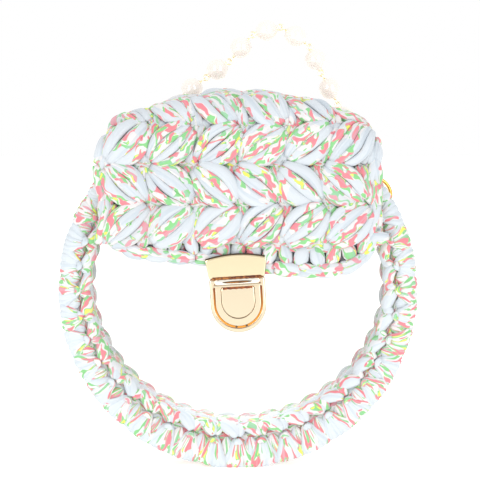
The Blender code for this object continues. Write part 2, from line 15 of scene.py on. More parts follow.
import bpy
import numpy as np
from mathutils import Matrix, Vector

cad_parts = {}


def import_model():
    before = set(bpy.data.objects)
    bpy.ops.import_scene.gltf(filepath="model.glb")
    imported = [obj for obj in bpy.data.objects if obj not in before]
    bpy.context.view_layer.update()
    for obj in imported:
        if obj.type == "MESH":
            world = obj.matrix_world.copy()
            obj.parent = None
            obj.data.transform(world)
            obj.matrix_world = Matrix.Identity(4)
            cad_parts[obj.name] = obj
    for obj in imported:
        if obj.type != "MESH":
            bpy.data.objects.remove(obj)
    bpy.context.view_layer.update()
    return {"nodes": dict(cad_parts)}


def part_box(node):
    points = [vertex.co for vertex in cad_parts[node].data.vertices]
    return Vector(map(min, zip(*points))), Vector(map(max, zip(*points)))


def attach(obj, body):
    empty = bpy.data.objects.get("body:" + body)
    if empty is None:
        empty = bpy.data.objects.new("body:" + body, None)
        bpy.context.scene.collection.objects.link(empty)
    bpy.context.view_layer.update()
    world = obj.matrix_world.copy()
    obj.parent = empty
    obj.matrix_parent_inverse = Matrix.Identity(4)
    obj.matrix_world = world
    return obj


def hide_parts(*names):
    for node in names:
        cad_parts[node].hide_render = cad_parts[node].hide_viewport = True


LOG = logging.getLogger("frame_bag")
MM = 0.001

Material = bpy.types.Material
Socket = bpy.types.NodeSocket
Chance = np.random.Generator
Spot = tuple[float, float]
Point = tuple[float, float, float]
Places = tuple[np.ndarray, np.ndarray]
Surface = Callable[[np.ndarray, np.ndarray], Places]


class Face(Enum):
    """Which side of the bag a rim is on. The value is the direction of its outer face along y."""

    FRONT = -1
    BACK = 1


class Lean(Enum):
    """The way a puff stitch leans on the flap, as seen from the front."""

    RISING = 1
    FALLING = -1


class Metal(IntEnum):
    """The finishes of the lock, by number on each piece: plain gold, then painted shade, reflection and
    highlight.
    """

    FACE = 0
    SHADE_LINE = 1
    GROOVE_REFLECTION = 2
    SEAM_SHADE = 3
    SHADE = 4
    LIP_HIGHLIGHT = 5


# Small helpers


def linear(hex_colour: str) -> tuple[float, float, float, float]:
    """Turn an sRGB colour into linear light.

    Args:
        hex_colour: six hexadecimal digits after a hash sign.

    Returns:
        Red, green, blue and an alpha of 1.
    """
    parts = [int(hex_colour[i:i + 2], 16) / 255 for i in (1, 3, 5)]
    return (*(p / 12.92 if p <= 0.04045 else ((p + 0.055) / 1.055) ** 2.4 for p in parts), 1.0)


def unit(vectors: np.ndarray) -> np.ndarray:
    """Return the vectors at length 1."""
    return vectors / np.maximum(np.linalg.norm(vectors, axis=-1, keepdims=True), 1e-12)


def signed_power(values: np.ndarray, power: float) -> np.ndarray:
    """Return the power of each value's size, with its sign kept."""
    return np.sign(values) * np.abs(values) ** power


def crossed(rows: np.ndarray, columns: np.ndarray) -> list[np.ndarray]:
    """Return two grids: one of the rows' values and one of the columns'."""
    return np.meshgrid(rows, columns, indexing="ij")


def circle(steps: int) -> np.ndarray:
    """Return angles round a full turn, without its end."""
    return np.linspace(0, 2 * np.pi, steps, endpoint=False)


def ease(values: np.ndarray) -> np.ndarray:
    """Ease from 0 to 1."""
    values = np.clip(values, 0, 1)
    return values * values * (3 - 2 * values)


def placed(obj: bpy.types.Object, body: str, replaces: tuple[str, ...] = ()) -> None:
    """Set a piece on its body, in the place of the nodes that it stands for.

    Args:
        obj: the piece, in place.
        body: the body that carries it.
        replaces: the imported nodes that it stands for.
    """
    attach(obj, body)
    if replaces:
        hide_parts(*replaces)
    LOG.info("%s: %d faces", obj.name, len(obj.data.polygons))


class Shading:
    """The nodes of one material, with short ways to add those that the finishes share."""

    def __init__(self, name: str) -> None:
        """Start an empty material of that name."""
        self.material = bpy.data.materials.new(name)
        self.material.use_nodes = True
        self.tree = self.material.node_tree
        self.tree.nodes.clear()

    def add(self, kind: str, inputs: dict | None = None, **settings: object) -> bpy.types.Node:
        """Add a node with its settings and links.

        Args:
            kind: the node's type name, after the words ShaderNode.
            inputs: values or output sockets for its input sockets, by name or number.
            settings: the node's own properties.

        Returns:
            The new node.
        """
        node = self.tree.nodes.new(f"ShaderNode{kind}")
        for name, value in settings.items():
            setattr(node, name, value)
        for name, value in (inputs or {}).items():
            if isinstance(value, Socket):
                self.tree.links.new(value, node.inputs[name])
            else:
                node.inputs[name].default_value = value
        return node

    def place(self) -> Socket:
        """Return the place on the piece, in metres."""
        return self.add("TexCoord").outputs["Object"]

    def noise(self, place: Socket, size: float, detail: float, flat: bool = False,
              part: str = "Fac") -> Socket:
        """Return noise with blobs of that size, through the piece or flat on its ribbons."""
        return self.add("TexNoise", {"Vector": place, "Scale": 1 / size, "Detail": detail},
                        noise_dimensions="2D" if flat else "3D").outputs[part]

    def span(self, value: Socket, low: float, high: float, start: float = 0.0, end: float = 1.0) -> Socket:
        """Return a value carried from one range to another, and held at its ends."""
        return self.add("MapRange", {"Value": value, "From Min": low, "From Max": high,
                                     "To Min": start, "To Max": end}, clamp=True).outputs["Result"]

    def sum(self, kind: str, *values: Socket | float) -> Socket:
        """Return the result of a sum of that kind."""
        return self.add("Math", dict(enumerate(values)), operation=kind).outputs[0]

    def shift(self, place: Socket, by: Socket | tuple[float, float, float]) -> Socket:
        """Return a place moved by a vector."""
        return self.add("VectorMath", {0: place, 1: by}, operation="ADD").outputs[0]

    def mixed(self, share: Socket | float, under: Socket | str, over: Socket | str,
              blend: str = "MIX") -> Socket:
        """Return one colour over another, each of them a socket or a hex value."""
        a, b = (linear(colour) if isinstance(colour, str) else colour for colour in (under, over))
        node = self.add("Mix", {"Factor": share, "A": a, "B": b}, data_type="RGBA", blend_type=blend)
        return node.outputs["Result"]

    def bump(self, height: Socket, strength: float, depth_mm: float) -> Socket:
        """Return the directions of a fine relief."""
        inputs = {"Height": height, "Strength": strength, "Distance": depth_mm * MM}
        return self.add("Bump", inputs).outputs[0]

    def hollow_shade(self, reach_mm: float, samples: int, alone: bool) -> Socket:
        """Return how open the surface is, which sets painted shade: 0 deep between its parts, 1 where nothing
        is near.
        """
        node = self.add("AmbientOcclusion", {"Distance": reach_mm * MM}, samples=samples, only_local=alone)
        return node.outputs["AO"]

    def skin(self, **inputs: object) -> Socket:
        """Return the main shader, with its inputs named in small letters and low lines."""
        names = [name.replace("_", " ").title().replace("Ior", "IOR") for name in inputs]
        return self.add("BsdfPrincipled", dict(zip(names, inputs.values()))).outputs[0]

    def done(self, shader: Socket) -> Material:
        """Link the last shader to the material's output, and return the material."""
        self.add("OutputMaterial", {"Surface": shader})
        return self.material


class MeshPile:
    """Patches of quads gathered into one mesh, with UVs in millimetres and a print level for each point."""

    def __init__(self, origin: Vector) -> None:
        """Start an empty pile.

        Args:
            origin: where the bag's own frame stands in the world.
        """
        self.origin = np.array(origin)
        self.points: list[np.ndarray] = []
        self.quads: list[np.ndarray] = []
        self.uvs: list[np.ndarray] = []
        self.levels: list[np.ndarray] = []
        self.slots: list[np.ndarray] = []
        self.count = 0

    def add_grid(self, points: np.ndarray, uv: np.ndarray | None = None, wrap: bool = False,
                 level: float = 0.5, slot: int = 0) -> None:
        """Add a grid of quads.

        Args:
            points: rows by columns by 3.
            uv: rows by columns by 2, with one more column where the grid wraps.
            wrap: True where the last column joins the first.
            level: how much of the patch is printed.
            slot: the number of its material.
        """
        if uv is None:
            uv = np.zeros((points.shape[0], points.shape[1] + 1, 2))
        rows, columns = points.shape[:2]
        i, j = crossed(np.arange(rows - 1), np.arange(columns if wrap else columns - 1))
        k = (j + 1) % columns
        corners = [i * columns + j, i * columns + k, (i + 1) * columns + k, (i + 1) * columns + j]
        self.quads.append(np.stack(corners, axis=-1).reshape(-1, 4) + self.count)
        uv_corners = [uv[i, j], uv[i, j + 1], uv[i + 1, j + 1], uv[i + 1, j]]
        self.uvs.append(np.stack(uv_corners, axis=-2).reshape(-1, 2))
        self.points.append(points.reshape(-1, 3))
        self.levels.append(np.full(rows * columns, level))
        self.slots.append(np.full(i.size, slot))
        self.count += rows * columns

    def add_rings(self, rings: list[np.ndarray], slot: int = 0) -> None:
        """Add a skin that runs through closed rings of points."""
        self.add_grid(np.stack(rings), wrap=True, slot=slot)

    def build(self, name: str, *materials: Material) -> bpy.types.Object:
        """Make the mesh object.

        Args:
            name: the object's name.
            materials: its materials, in the order of their numbers.

        Returns:
            The object, smooth shaded and linked to the scene.
        """
        points = np.concatenate(self.points) + self.origin
        quads = np.concatenate(self.quads)
        mesh = bpy.data.meshes.new(name)
        mesh.vertices.add(len(points))
        mesh.vertices.foreach_set("co", points.astype(np.float32).ravel())
        mesh.loops.add(quads.size)
        mesh.loops.foreach_set("vertex_index", quads.astype(np.int32).ravel())
        mesh.polygons.add(len(quads))
        mesh.polygons.foreach_set("loop_start", np.arange(0, quads.size, 4, dtype=np.int32))
        mesh.polygons.foreach_set("use_smooth", np.ones(len(quads), dtype=bool))
        mesh.update(calc_edges=True)
        layer = mesh.uv_layers.new(name="UVMap")
        layer.data.foreach_set("uv", np.concatenate(self.uvs).astype(np.float32).ravel())
        level = mesh.attributes.new("print_level", "FLOAT", "POINT")
        level.data.foreach_set("value", np.concatenate(self.levels).astype(np.float32))
        for material in materials:
            mesh.materials.append(material)
        mesh.polygons.foreach_set("material_index", np.concatenate(self.slots).astype(np.int32))
        mesh.validate(clean_customdata=False)
        obj = bpy.data.objects.new(name, mesh)
        bpy.context.scene.collection.objects.link(obj)
        return obj


# Finishes


@dataclass(frozen=True)
class PrintedJersey:
    """Ribbon yarn cut from printed cotton jersey, curled by its own stretch: matt, finely ribbed lengthwise.

    The values that end in above are the levels of noise over which each colour of the print shows.
    """

    name: str = "printed_cotton_jersey_ribbon"
    plain: str = "#C7CDD3"
    ground: str = "#D8D5D5"
    coral: str = "#DF838C"
    green: str = "#85C484"
    yellow: str = "#E2E466"
    # crease is the colour of painted shade in the fine creases, mixed in up to a third
    crease: str = "#A3B3C0"
    # this colour is painted shade, laid on where strands lie close
    hollow_shade: str = "#434E55"
    hollow_shade_reach_mm: float = 1.8
    hollow_shade_full: float = 0.72
    hollow_shade_share: float = 1.0
    rib_mm: float = 0.55
    stroke_mm: float = 2.0
    region_mm: float = 6.5
    wobble_mm: float = 7.0
    green_above: float = 0.54
    yellow_above: float = 0.59
    border_above: float = 0.55
    coral_above: float = 0.575
    printed_above: float = 0.44
    roughness: float = 0.86

    def printed(self, nodes: Shading, uv: Socket) -> Socket:
        """Return the colour of the print, in strokes that follow the ribbon as the cloth was stretched."""
        level = nodes.add("Attribute", attribute_name="print_level").outputs["Fac"]
        wobble = nodes.noise(uv, self.wobble_mm, 1.0, flat=True, part="Color")
        centred = nodes.shift(wobble, (-0.5, -0.5, -0.5))
        wide = nodes.add("VectorMath", {0: centred, "Scale": 4.5}, operation="SCALE")
        bent = nodes.shift(uv, wide.outputs[0])
        drawn = nodes.add("Mapping", {"Vector": bent, "Scale": (0.34, 1.0, 1.0)}).outputs[0]

        def field_of(size: float, apart: float, detail: float = 0.6) -> Socket:
            """Return a noise field with blobs of that size, away from the others."""
            return nodes.noise(nodes.shift(drawn, (apart, -apart, 0)), size, detail, flat=True)

        def above(field_value: Socket, low: float) -> Socket:
            """Return 1 where the field is above a level, with a soft edge."""
            return nodes.span(field_value, low, low + 0.012)

        coral = field_of(self.stroke_mm, 31.0)
        green = field_of(self.stroke_mm * 0.9, 83.0)
        yellow = field_of(self.stroke_mm * 1.6, 137.0)
        bright = nodes.sum("MULTIPLY", above(green, self.yellow_above), above(yellow, 0.60))
        border = nodes.sum("MULTIPLY", above(coral, self.border_above), above(yellow, 0.50))
        greens = nodes.mixed(bright, self.green, self.yellow)
        colour = nodes.mixed(above(green, self.green_above), self.ground, greens)
        colour = nodes.mixed(border, colour, self.green)
        colour = nodes.mixed(above(coral, self.coral_above), colour, self.coral)

        # Whole stretches of the cloth are plain, and which they are depends on the ribbon
        swing = nodes.sum("MULTIPLY_ADD", field_of(self.region_mm, 211.0, 0.0), 2.4, -1.2)
        return nodes.mixed(above(nodes.sum("ADD", swing, level), self.printed_above), self.plain, colour)

    def material(self) -> Material:
        """Build the material.

        Returns:
            The printed jersey, read from UVs in millimetres along and across each ribbon.
        """
        nodes = Shading(self.name)
        uv = nodes.add("UVMap", uv_map="UVMap").outputs["UV"]
        colour = self.printed(nodes, uv)

        # Jersey rolls into fine lengthwise ribs and creases, as bump, with painted shade in the crease colour
        # along the creases
        lengthwise = nodes.add("Mapping", {"Vector": uv, "Scale": (0.035, 1.0, 1.0)}).outputs[0]
        ribs = nodes.noise(lengthwise, self.rib_mm, 1.5, flat=True)
        creases = nodes.noise(lengthwise, self.rib_mm * 3.2, 2.0, flat=True)
        colour = nodes.mixed(nodes.span(creases, 0.36, 0.47, 0.34, 0.0), colour, self.crease)

        # Painted shade: the colour darkens towards a deep grey where strands lie close, most between them
        hollow_shade = nodes.hollow_shade(self.hollow_shade_reach_mm, 6, True)
        depth = nodes.span(hollow_shade, 0.15, self.hollow_shade_full, self.hollow_shade_share, 0.0)
        colour = nodes.mixed(depth, colour, nodes.mixed(1.0, colour, self.hollow_shade, "MULTIPLY"))
        relief = nodes.bump(nodes.sum("MULTIPLY_ADD", creases, 2.2, ribs), 0.55, 0.35)
        return nodes.done(nodes.skin(base_color=colour, roughness=self.roughness, ior=1.46, sheen_weight=0.15,
                                     specular_ior_level=0.25, normal=relief))


@dataclass(frozen=True)
class PlatedMetal:
    """Zinc alloy cast, polished and plated light gold: a pale bright face, with painted amber reflection
    where it would mirror itself.
    """

    name: str = "light_gold_plated_zinc"
    colour: str = "#DBCDAC"
    # the groove colour is painted reflection and shade in the metal's hollows
    grooves: str = "#E09A3A"
    roughness: float = 0.13
    groove_shade_reach_mm: float = 1.6

    def material(self) -> Material:
        """Build the material.

        Returns:
            Gold plate with painted amber reflection and shade in its grooves, and faint polishing marks.
        """
        nodes = Shading(self.name)
        # Painted reflection and shade: the gold turns to the groove colour where other parts are near
        hollow_shade = nodes.hollow_shade(self.groove_shade_reach_mm, 8, False)
        marks = nodes.noise(nodes.place(), 0.9 * MM, 3.0)
        return nodes.done(nodes.skin(
            base_color=nodes.mixed(nodes.span(hollow_shade, 0.35, 0.8), self.grooves, self.colour), metallic=1.0,
            roughness=nodes.span(marks, 0.0, 1.0, self.roughness * 0.8, self.roughness * 1.3),
            normal=nodes.bump(marks, 0.05, 0.02)))


@dataclass(frozen=True)
class GrooveShade:
    """Painted reflection and shade for gold in a narrow groove: red-brown at the top, bright amber below."""

    name: str
    dark: str = "#6A1E08"
    bright: str = "#F0A530"
    top: float = 0.0043
    bottom: float = -0.0137
    roughness: float = 0.35
    mottle_mm: float = 4.0

    def material(self, origin: Vector) -> Material:
        """Build the material.

        Args:
            origin: where the bag's frame stands.

        Returns:
            The groove's gold, with painted shade and reflection along its height.
        """
        nodes = Shading(self.name)
        place = nodes.place()
        height = nodes.add("SeparateXYZ", {0: place}).outputs["Z"]
        mottle = self.mottle_mm * MM
        uneven = nodes.sum("MULTIPLY_ADD", nodes.noise(place, 1.5 * MM, 2.0), mottle, height)
        level = origin.z + mottle / 2
        share = nodes.span(uneven, level + self.bottom, level + self.top)
        colour = nodes.mixed(share, self.bright, self.dark)
        return nodes.done(nodes.skin(base_color=colour, metallic=0.3, roughness=self.roughness))


@dataclass(frozen=True)
class PearlCoat:
    """Moulded bead dipped in pearl essence: cream, glossy, with a soft bright depth under the coat."""

    colour: str = "#F0E9E3"
    shade: str = "#ECE1D7"
    roughness: float = 0.2

    def material(self) -> Material:
        """Build the material.

        Returns:
            The pearl coating, warmer where the dip ran thicker.
        """
        nodes = Shading("cream_pearl_coated_bead")
        place = nodes.place()
        return nodes.done(nodes.skin(
            base_color=nodes.mixed(nodes.noise(place, 5 * MM, 2.0), self.colour, self.shade),
            roughness=self.roughness, ior=1.6, coat_weight=1.0, coat_roughness=0.05, sheen_weight=0.2,
            normal=nodes.bump(nodes.noise(place, 2.5 * MM, 1.0), 0.03, 0.02)))


@dataclass(frozen=True)
class ClearAcrylic:
    """Cast acrylic sheet, cut and polished: all but invisible face on, with a faint grey at its edge."""

    tint: str = "#FFFFFF"
    haze: float = 0.06
    roughness: float = 0.02

    def material(self) -> Material:
        """Build the material.

        Returns:
            A thin clear pane that shows as gloss, and a little veil where it is seen edge on.
        """
        nodes = Shading("clear_cast_acrylic")
        relief = nodes.bump(nodes.noise(nodes.place(), 40 * MM, 1.0), 0.04, 0.2)
        edge = nodes.add("LayerWeight", {"Blend": 0.25, "Normal": relief}).outputs["Fresnel"]
        clear = nodes.add("BsdfTransparent", {"Color": linear(self.tint)}).outputs[0]
        gloss = nodes.skin(base_color=linear(self.tint), roughness=self.roughness, ior=1.49, normal=relief)

        # Light goes through the pane to what is behind it, and the gloss is for the eye
        seen = nodes.add("LightPath").outputs["Is Camera Ray"]
        share = nodes.sum("MULTIPLY", nodes.span(edge, 0.0, 1.0, self.haze, 0.6), seen)
        return nodes.done(nodes.add("MixShader", {"Fac": share, 1: clear, 2: gloss}).outputs[0])


# Strands of yarn and the forms that they lie on


@dataclass(frozen=True)
class Strand:
    """A ribbon of yarn laid on a form: full in its middle, tucked in at both ends."""

    width: float
    height: float
    arch: float = 0.0
    taper: float = 0.42
    pleats: float = 3.0
    crease: float = 0.16
    sides: int = 14
    steps: int = 12

    def lay(self, pile: MeshPile, surface: Surface, start: Spot, end: Spot, rng: Chance, bow: float = 0.0,
            lift: float = 0.0, level: float | tuple[float, ...] = 0.5, roll: float = 0.0) -> None:
        """Add the strand to a pile.

        Args:
            pile: what the strand is added to.
            surface: the form that it lies on.
            start: where it starts, in the form's own two directions.
            end: where it ends.
            rng: the source of its small differences.
            bow: how far its middle stands off the straight line.
            lift: how far its ends stand off the form.
            level: how much of it is printed, or several shares to pick from.
            roll: how far it is turned about its own line, in radians.
        """
        if isinstance(level, tuple):
            level = float(rng.choice(level))
        t = np.linspace(0, 1, self.steps + 1)
        points, normals = surface(start[0] + (end[0] - start[0]) * t, start[1] + (end[1] - start[1]) * t)
        swell = np.sin(np.pi * (0.03 + 0.94 * t)) ** 0.7
        tangents = unit(np.gradient(points, axis=0))
        across = unit(np.cross(tangents, normals))
        centre = points + normals * (lift + self.arch * swell)[:, None]
        centre = centre + across * (bow * np.sin(np.pi * t))[:, None]
        tangents = unit(np.gradient(centre, axis=0))
        across = unit(np.cross(tangents, normals))
        up = unit(np.cross(across, tangents))
        cos, sin = math.cos(roll), math.sin(roll)
        across, up = across * cos + up * sin, up * cos - across * sin
        phi = circle(self.sides) - np.pi / 2
        c = signed_power(np.cos(phi), 0.8)
        s = signed_power(np.sin(phi), 0.85)
        wave = 0.5 + 0.5 * np.cos(2 * np.pi * self.pleats * (c + 1) / 2 + rng.uniform(0, 6.28))
        s = s * np.where(s > 0, 1 - self.crease * wave, 1.0)
        width = self.width / 2 * (self.taper + (1 - self.taper) * swell) * rng.uniform(0.92, 1.08)
        height = self.height / 2 * (0.5 + 0.5 * swell)
        grid = (centre[:, None] + across[:, None] * (width[:, None] * c)[..., None]
                + up[:, None] * (height[:, None] * s)[..., None])
        first, last = grid[:1], grid[-1:]
        grid = np.concatenate([first * 0.04 + centre[0] * 0.96, grid, last * 0.04 + centre[-1] * 0.96])
        length = np.concatenate([[0], np.cumsum(np.linalg.norm(np.diff(centre, axis=0), axis=1))])
        length = np.concatenate([[length[0] - self.height / 2], length, [length[-1] + self.height / 2]])
        u, v = crossed(length / MM, np.linspace(0, 2.3 * self.width / MM, self.sides + 1))
        uv = np.stack([u + rng.uniform(0, 900), v + rng.uniform(0, 900)], axis=-1)
        pile.add_grid(grid, uv, wrap=True, level=level)


@dataclass(frozen=True)
class RimForm:
    """The rounded section of a crocheted rim, swept round the bag."""

    face: Face
    width: float
    extra_at_bottom: float
    radius: float = 0.0930
    depth: float = 0.0150
    bag_depth: float = 0.0580
    squareness: float = 2.6

    def width_at(self, around: np.ndarray) -> np.ndarray:
        """Return the rim's width at an angle round the bag."""
        return self.width + self.extra_at_bottom * np.maximum(0.0, -np.sin(around)) ** 1.3

    def at(self, around: np.ndarray, section: np.ndarray, shrink: float | np.ndarray = 0.0) -> Places:
        """Find places on the rim.

        Args:
            around: angles round the bag, from its right.
            section: angles round the section: 0 at the inner edge, a quarter turn at the outer face.
            shrink: how far below the form the places lie.

        Returns:
            Points and outward directions.
        """
        c, s = np.cos(section), np.sin(section)
        x = -signed_power(c, 2 / self.squareness)
        f = signed_power(s, 2 / self.squareness)
        width = self.width_at(around)
        radius = self.radius - width * (0.5 - 0.5 * x)
        near = 0.0 if self.face is Face.FRONT else self.bag_depth
        y = near - self.face.value * self.depth * (0.5 - 0.5 * f)
        n_out = signed_power(x, self.squareness - 1) / width
        n_face = signed_power(f, self.squareness - 1) / self.depth
        size = np.maximum(np.hypot(n_out, n_face), 1e-9)
        n_out, n_face = n_out / size, n_face / size
        ca, sa = np.cos(around), np.sin(around)
        normals = np.stack([n_out * ca, n_face * self.face.value, n_out * sa], axis=-1)
        points = np.stack([radius * ca, y + 0 * radius, radius * sa], axis=-1)
        return points - normals * np.asarray(shrink)[..., None], normals


@dataclass(frozen=True)
class GussetForm:
    """The band between the rims, seen from outside or from inside."""

    outer: float = 0.0898
    inner: float = 0.0842
    y_front: float = 0.0150
    y_back: float = 0.0430

    def outside(self, around: np.ndarray, y: np.ndarray) -> Places:
        """Return points and outward directions on the outer side."""
        normals = np.stack([np.cos(around), 0 * around, np.sin(around)], axis=-1)
        return normals * self.outer + np.stack([0 * y, y, 0 * y], axis=-1), normals

    def inside(self, around: np.ndarray, y: np.ndarray) -> Places:
        """Return points and inward directions on the inner side."""
        normals = np.stack([np.cos(around), 0 * around, np.sin(around)], axis=-1)
        return normals * self.inner + np.stack([0 * y, y, 0 * y], axis=-1), -normals


@dataclass(frozen=True)
class FlapForm:
    """The middle surface of the flap: up the front, round the bend, over the ring and down its back."""

    centre_x: float = 0.0011
    half_width: float = 0.0694
    top: float = 0.1033
    front_drop: float = 0.0240
    thickness: float = 0.0095
    seat_gap: float = 0.0008
    bend_radius: float = 0.0090
    back_reach: float = 0.0460
    ring_radius: float = 0.0930
    dip: float = 0.0045
    dip_reach: float = 0.0480
    sides: tuple[float, ...] = (-1.0, -0.93, -0.82, -0.65, -0.30, 0.0, 0.30, 0.60, 0.80, 0.93, 1.0)
    tops: tuple[float, ...] = (0.80, 0.845, 0.88, 0.92, 0.975, 0.985, 0.975, 0.938, 0.886, 0.856, 0.785)
    bottoms: tuple[float, ...] = (1.75, 1.45, 1.28, 1.20, 1.10, 1.0, 0.88, 0.83, 0.92, 1.15, 1.55)

    def low(self, x: np.ndarray) -> np.ndarray:
        """Return the height of the lower edge."""
        return self.front_drop * np.interp((x - self.centre_x) / self.half_width, self.sides, self.bottoms)

    def bend(self, x: np.ndarray) -> np.ndarray:
        """Return the height where the front turns into the bend."""
        high = self.top * np.interp((x - self.centre_x) / self.half_width, self.sides, self.tops)
        return high - self.thickness / 2 - self.bend_radius

    def length(self) -> float:
        """Return the path's length at the middle, from z = 0 to the back end."""
        y_bend = self.bend_radius - self.seat_gap - self.thickness / 2
        return float(self.bend(np.array(0.0))) + math.pi / 2 * self.bend_radius + self.back_reach - y_bend

    def at(self, x: np.ndarray, path: np.ndarray) -> Places:
        """Find places on the flap.

        Args:
            x: distance across, from the bag's centre.
            path: distance along the flap, which is the height on its front.

        Returns:
            Points and outward directions.
        """
        x, path = np.broadcast_arrays(np.asarray(x, float), np.asarray(path, float))
        z_bend = self.bend(x)
        arc = math.pi / 2 * self.bend_radius
        y_front = -self.seat_gap - self.thickness / 2
        y_bend = y_front + self.bend_radius
        across = ease(1 - np.abs(x) / self.dip_reach)
        down = ease((self.top / 2 - path) / (self.top / 2 - self.front_drop))
        front = np.stack([x, y_front + self.dip * across * down, path], axis=-1)
        turn = np.clip((path - z_bend) / self.bend_radius, 0, math.pi / 2)
        out = np.stack([0 * x, -np.cos(turn), np.sin(turn)], axis=-1)
        bend = np.stack([x, y_bend + 0 * x, z_bend], axis=-1) + out * self.bend_radius
        beyond = np.clip((path - z_bend - arc) / (self.back_reach - y_bend), 0, 1)
        seat = self.ring_radius + self.seat_gap + self.thickness / 2
        z_back = np.sqrt(np.maximum(seat * seat - x * x, (self.thickness / 2) ** 2))
        z_top = z_bend + self.bend_radius
        z = z_top + (z_back - z_top) * ease(beyond)
        over = np.stack([x, y_bend + (self.back_reach - y_bend) * beyond, z], axis=-1)
        points = np.where((path < z_bend + arc)[..., None], bend, over)
        return np.where((path < z_bend)[..., None], front, points), out

    def front(self, x: np.ndarray, z: np.ndarray) -> Places:
        """Find places on the front sheet, which goes on below the flap's edge."""
        points, normals = self.at(x, np.minimum(z, self.bend(x) - 1e-5))
        points[..., 2] = z
        return points, normals


# The crocheted pieces


@dataclass
class Rim:
    """A rim: pleated fans of yarn over its outer edge, and a chain of stitches round its inner edge."""

    face: Face
    node: str
    seed: int
    stitches: int = 40
    knot_deg: float = 69.0
    fan_end_deg: float = 222.0
    hem_deg: float = -40.0
    valley: float = 0.0013
    proud: float = 0.0013
    pleat_depth: float = 0.0006
    knot_drop: float = 0.0012
    back_fan_drop: float = 0.0012
    levels: tuple[float, ...] = (0.34, 0.42, 0.48, 0.55, 0.64, 0.76)
    form: RimForm = field(init=False)

    def __post_init__(self) -> None:
        """Set the form for this face."""
        width, extra = (0.0145, 0.0076) if self.face is Face.FRONT else (0.0128, 0.0066)
        self.form = RimForm(self.face, width, extra)

    def spot(self, stitch: float, degrees: float) -> Spot:
        """Return a place by stitches round the bag and degrees round the section."""
        return stitch * 2 * math.pi / self.stitches, math.radians(degrees)

    def fan(self, pile: MeshPile, stitch: float, rng: Chance, level: float, under: float = 0.0) -> None:
        """Add one pleated fan, from its knot over the face and round the outer edge.

        Args:
            pile: what it is added to.
            stitch: its place round the bag, in stitches.
            rng: the source of its small differences.
            level: how much of it is printed.
            under: how far it lies below the others.
        """
        pitch = 2 * math.pi / self.stitches
        s, t = crossed(np.linspace(0, 1, 14), np.linspace(-1, 1, 37))
        spread = 0.26 + 0.94 * np.clip(s / 0.36, 0, 1) ** 0.8
        sway = rng.uniform(-0.14, 0.14) * s + 0.03 * np.sin(5 * s + rng.uniform(0, 6))
        around = stitch * pitch + pitch * (t * spread / 2 + sway)
        section = np.radians(self.knot_deg + (self.fan_end_deg - self.knot_deg) * s)
        pleats = rng.uniform(2.2, 3.1)
        phase = rng.uniform(0, 6.28)
        grooves = (1 - np.abs(np.sin(pleats * np.pi * (t + 0.2 * t * t) + phase + 0.5 * s))) ** 2.2
        drop = self.valley * np.abs(t) ** 5.0 - rng.uniform(-0.0006, 0.0006) * t - self.proud + under
        drop = drop + self.knot_drop * (1 - np.clip(s / 0.16, 0, 1)) ** 2
        drop = drop + self.pleat_depth * grooves * (0.3 + 0.7 * np.clip(s * 2, 0, 1))
        points, _ = self.form.at(around, section, drop)
        u = s * 17.0 + rng.uniform(0, 900)
        v = t * 7.5 + rng.uniform(0, 900)
        pile.add_grid(points, np.stack([u, v], axis=-1), level=level)

    def core(self, pile: MeshPile) -> None:
        """Add the solid body of the rim, under its stitches."""
        points, _ = self.form.at(*crossed(np.linspace(0, 2 * np.pi, 161), circle(24)), 0.0017)
        uv = np.stack(crossed(np.linspace(0, 560, 161), np.linspace(0, 60, 25)), axis=-1)
        pile.add_grid(points, uv, wrap=True, level=0.8)

    def hem(self, pile: MeshPile, rng: Chance) -> None:
        """Add the smooth roll of yarn on the rim's inner corner, with its small ties."""
        roll = Strand(0.0078, 0.0046, 0.0002, taper=0.95, pleats=1.5, crease=0.08)
        tie = Strand(0.0026, 0.0018, 0.0004, taper=0.6, pleats=1.0, sides=8, steps=6)
        for i in range(self.stitches):
            ends = self.spot(i - 0.15, self.hem_deg), self.spot(i + 1.15, self.hem_deg)
            roll.lay(pile, self.form.at, *ends, rng, lift=-0.0012, level=0.3)
            ends = self.spot(i, -22), self.spot(i + 0.3, -4)
            tie.lay(pile, self.form.at, *ends, rng, lift=0.0004, level=0.95)

    def build(self, origin: Vector, material: Material) -> None:
        """Build the rim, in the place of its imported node.

        Args:
            origin: where the bag's frame stands.
            material: the yarn.
        """
        rng = np.random.default_rng(self.seed)
        pile = MeshPile(origin)
        self.core(pile)
        long_arm = Strand(0.0070, 0.0050, 0.0008, taper=0.52, pleats=2.5, crease=0.2)
        short_arm = Strand(0.0056, 0.0044, 0.0006, taper=0.5, pleats=2.5, crease=0.2)
        lap = Strand(0.0052, 0.0040, 0.0003, taper=0.6, pleats=2.0, crease=0.2, steps=8)
        knot = Strand(0.0032, 0.0030, 0.0006, taper=0.6, pleats=1.5, sides=10, steps=8)
        inward, knots = self.face.value, self.knot_deg + 16
        for i in range(self.stitches):
            self.fan(pile, i, rng, float(rng.choice(self.levels)))
            self.fan(pile, i + 0.5, rng, 0.7, self.back_fan_drop)
            lap.lay(pile, self.form.at, self.spot(i - 0.9, -6), self.spot(i + 0.15, 2), rng, lift=-0.0008,
                    level=self.levels)
            ends = self.spot(i + 0.34, 10), self.spot(i + 0.05, self.knot_deg - 2)
            short_arm.lay(pile, self.form.at, *ends, rng, bow=-0.0005 * inward, lift=-0.0002,
                          level=self.levels)
            long_arm.lay(pile, self.form.at, self.spot(i - 0.92, 24), self.spot(i, self.knot_deg - 4), rng,
                         bow=0.0011 * inward, lift=0.0002, level=self.levels)
            knot.lay(pile, self.form.at, self.spot(i - 0.14, knots), self.spot(i + 0.14, knots), rng,
                     bow=0.0012 * inward, lift=0.0006)
        self.hem(pile, rng)
        name = self.node.replace("rim", "crocheted_rim")
        placed(pile.build(name, material), "bag", (self.node,))


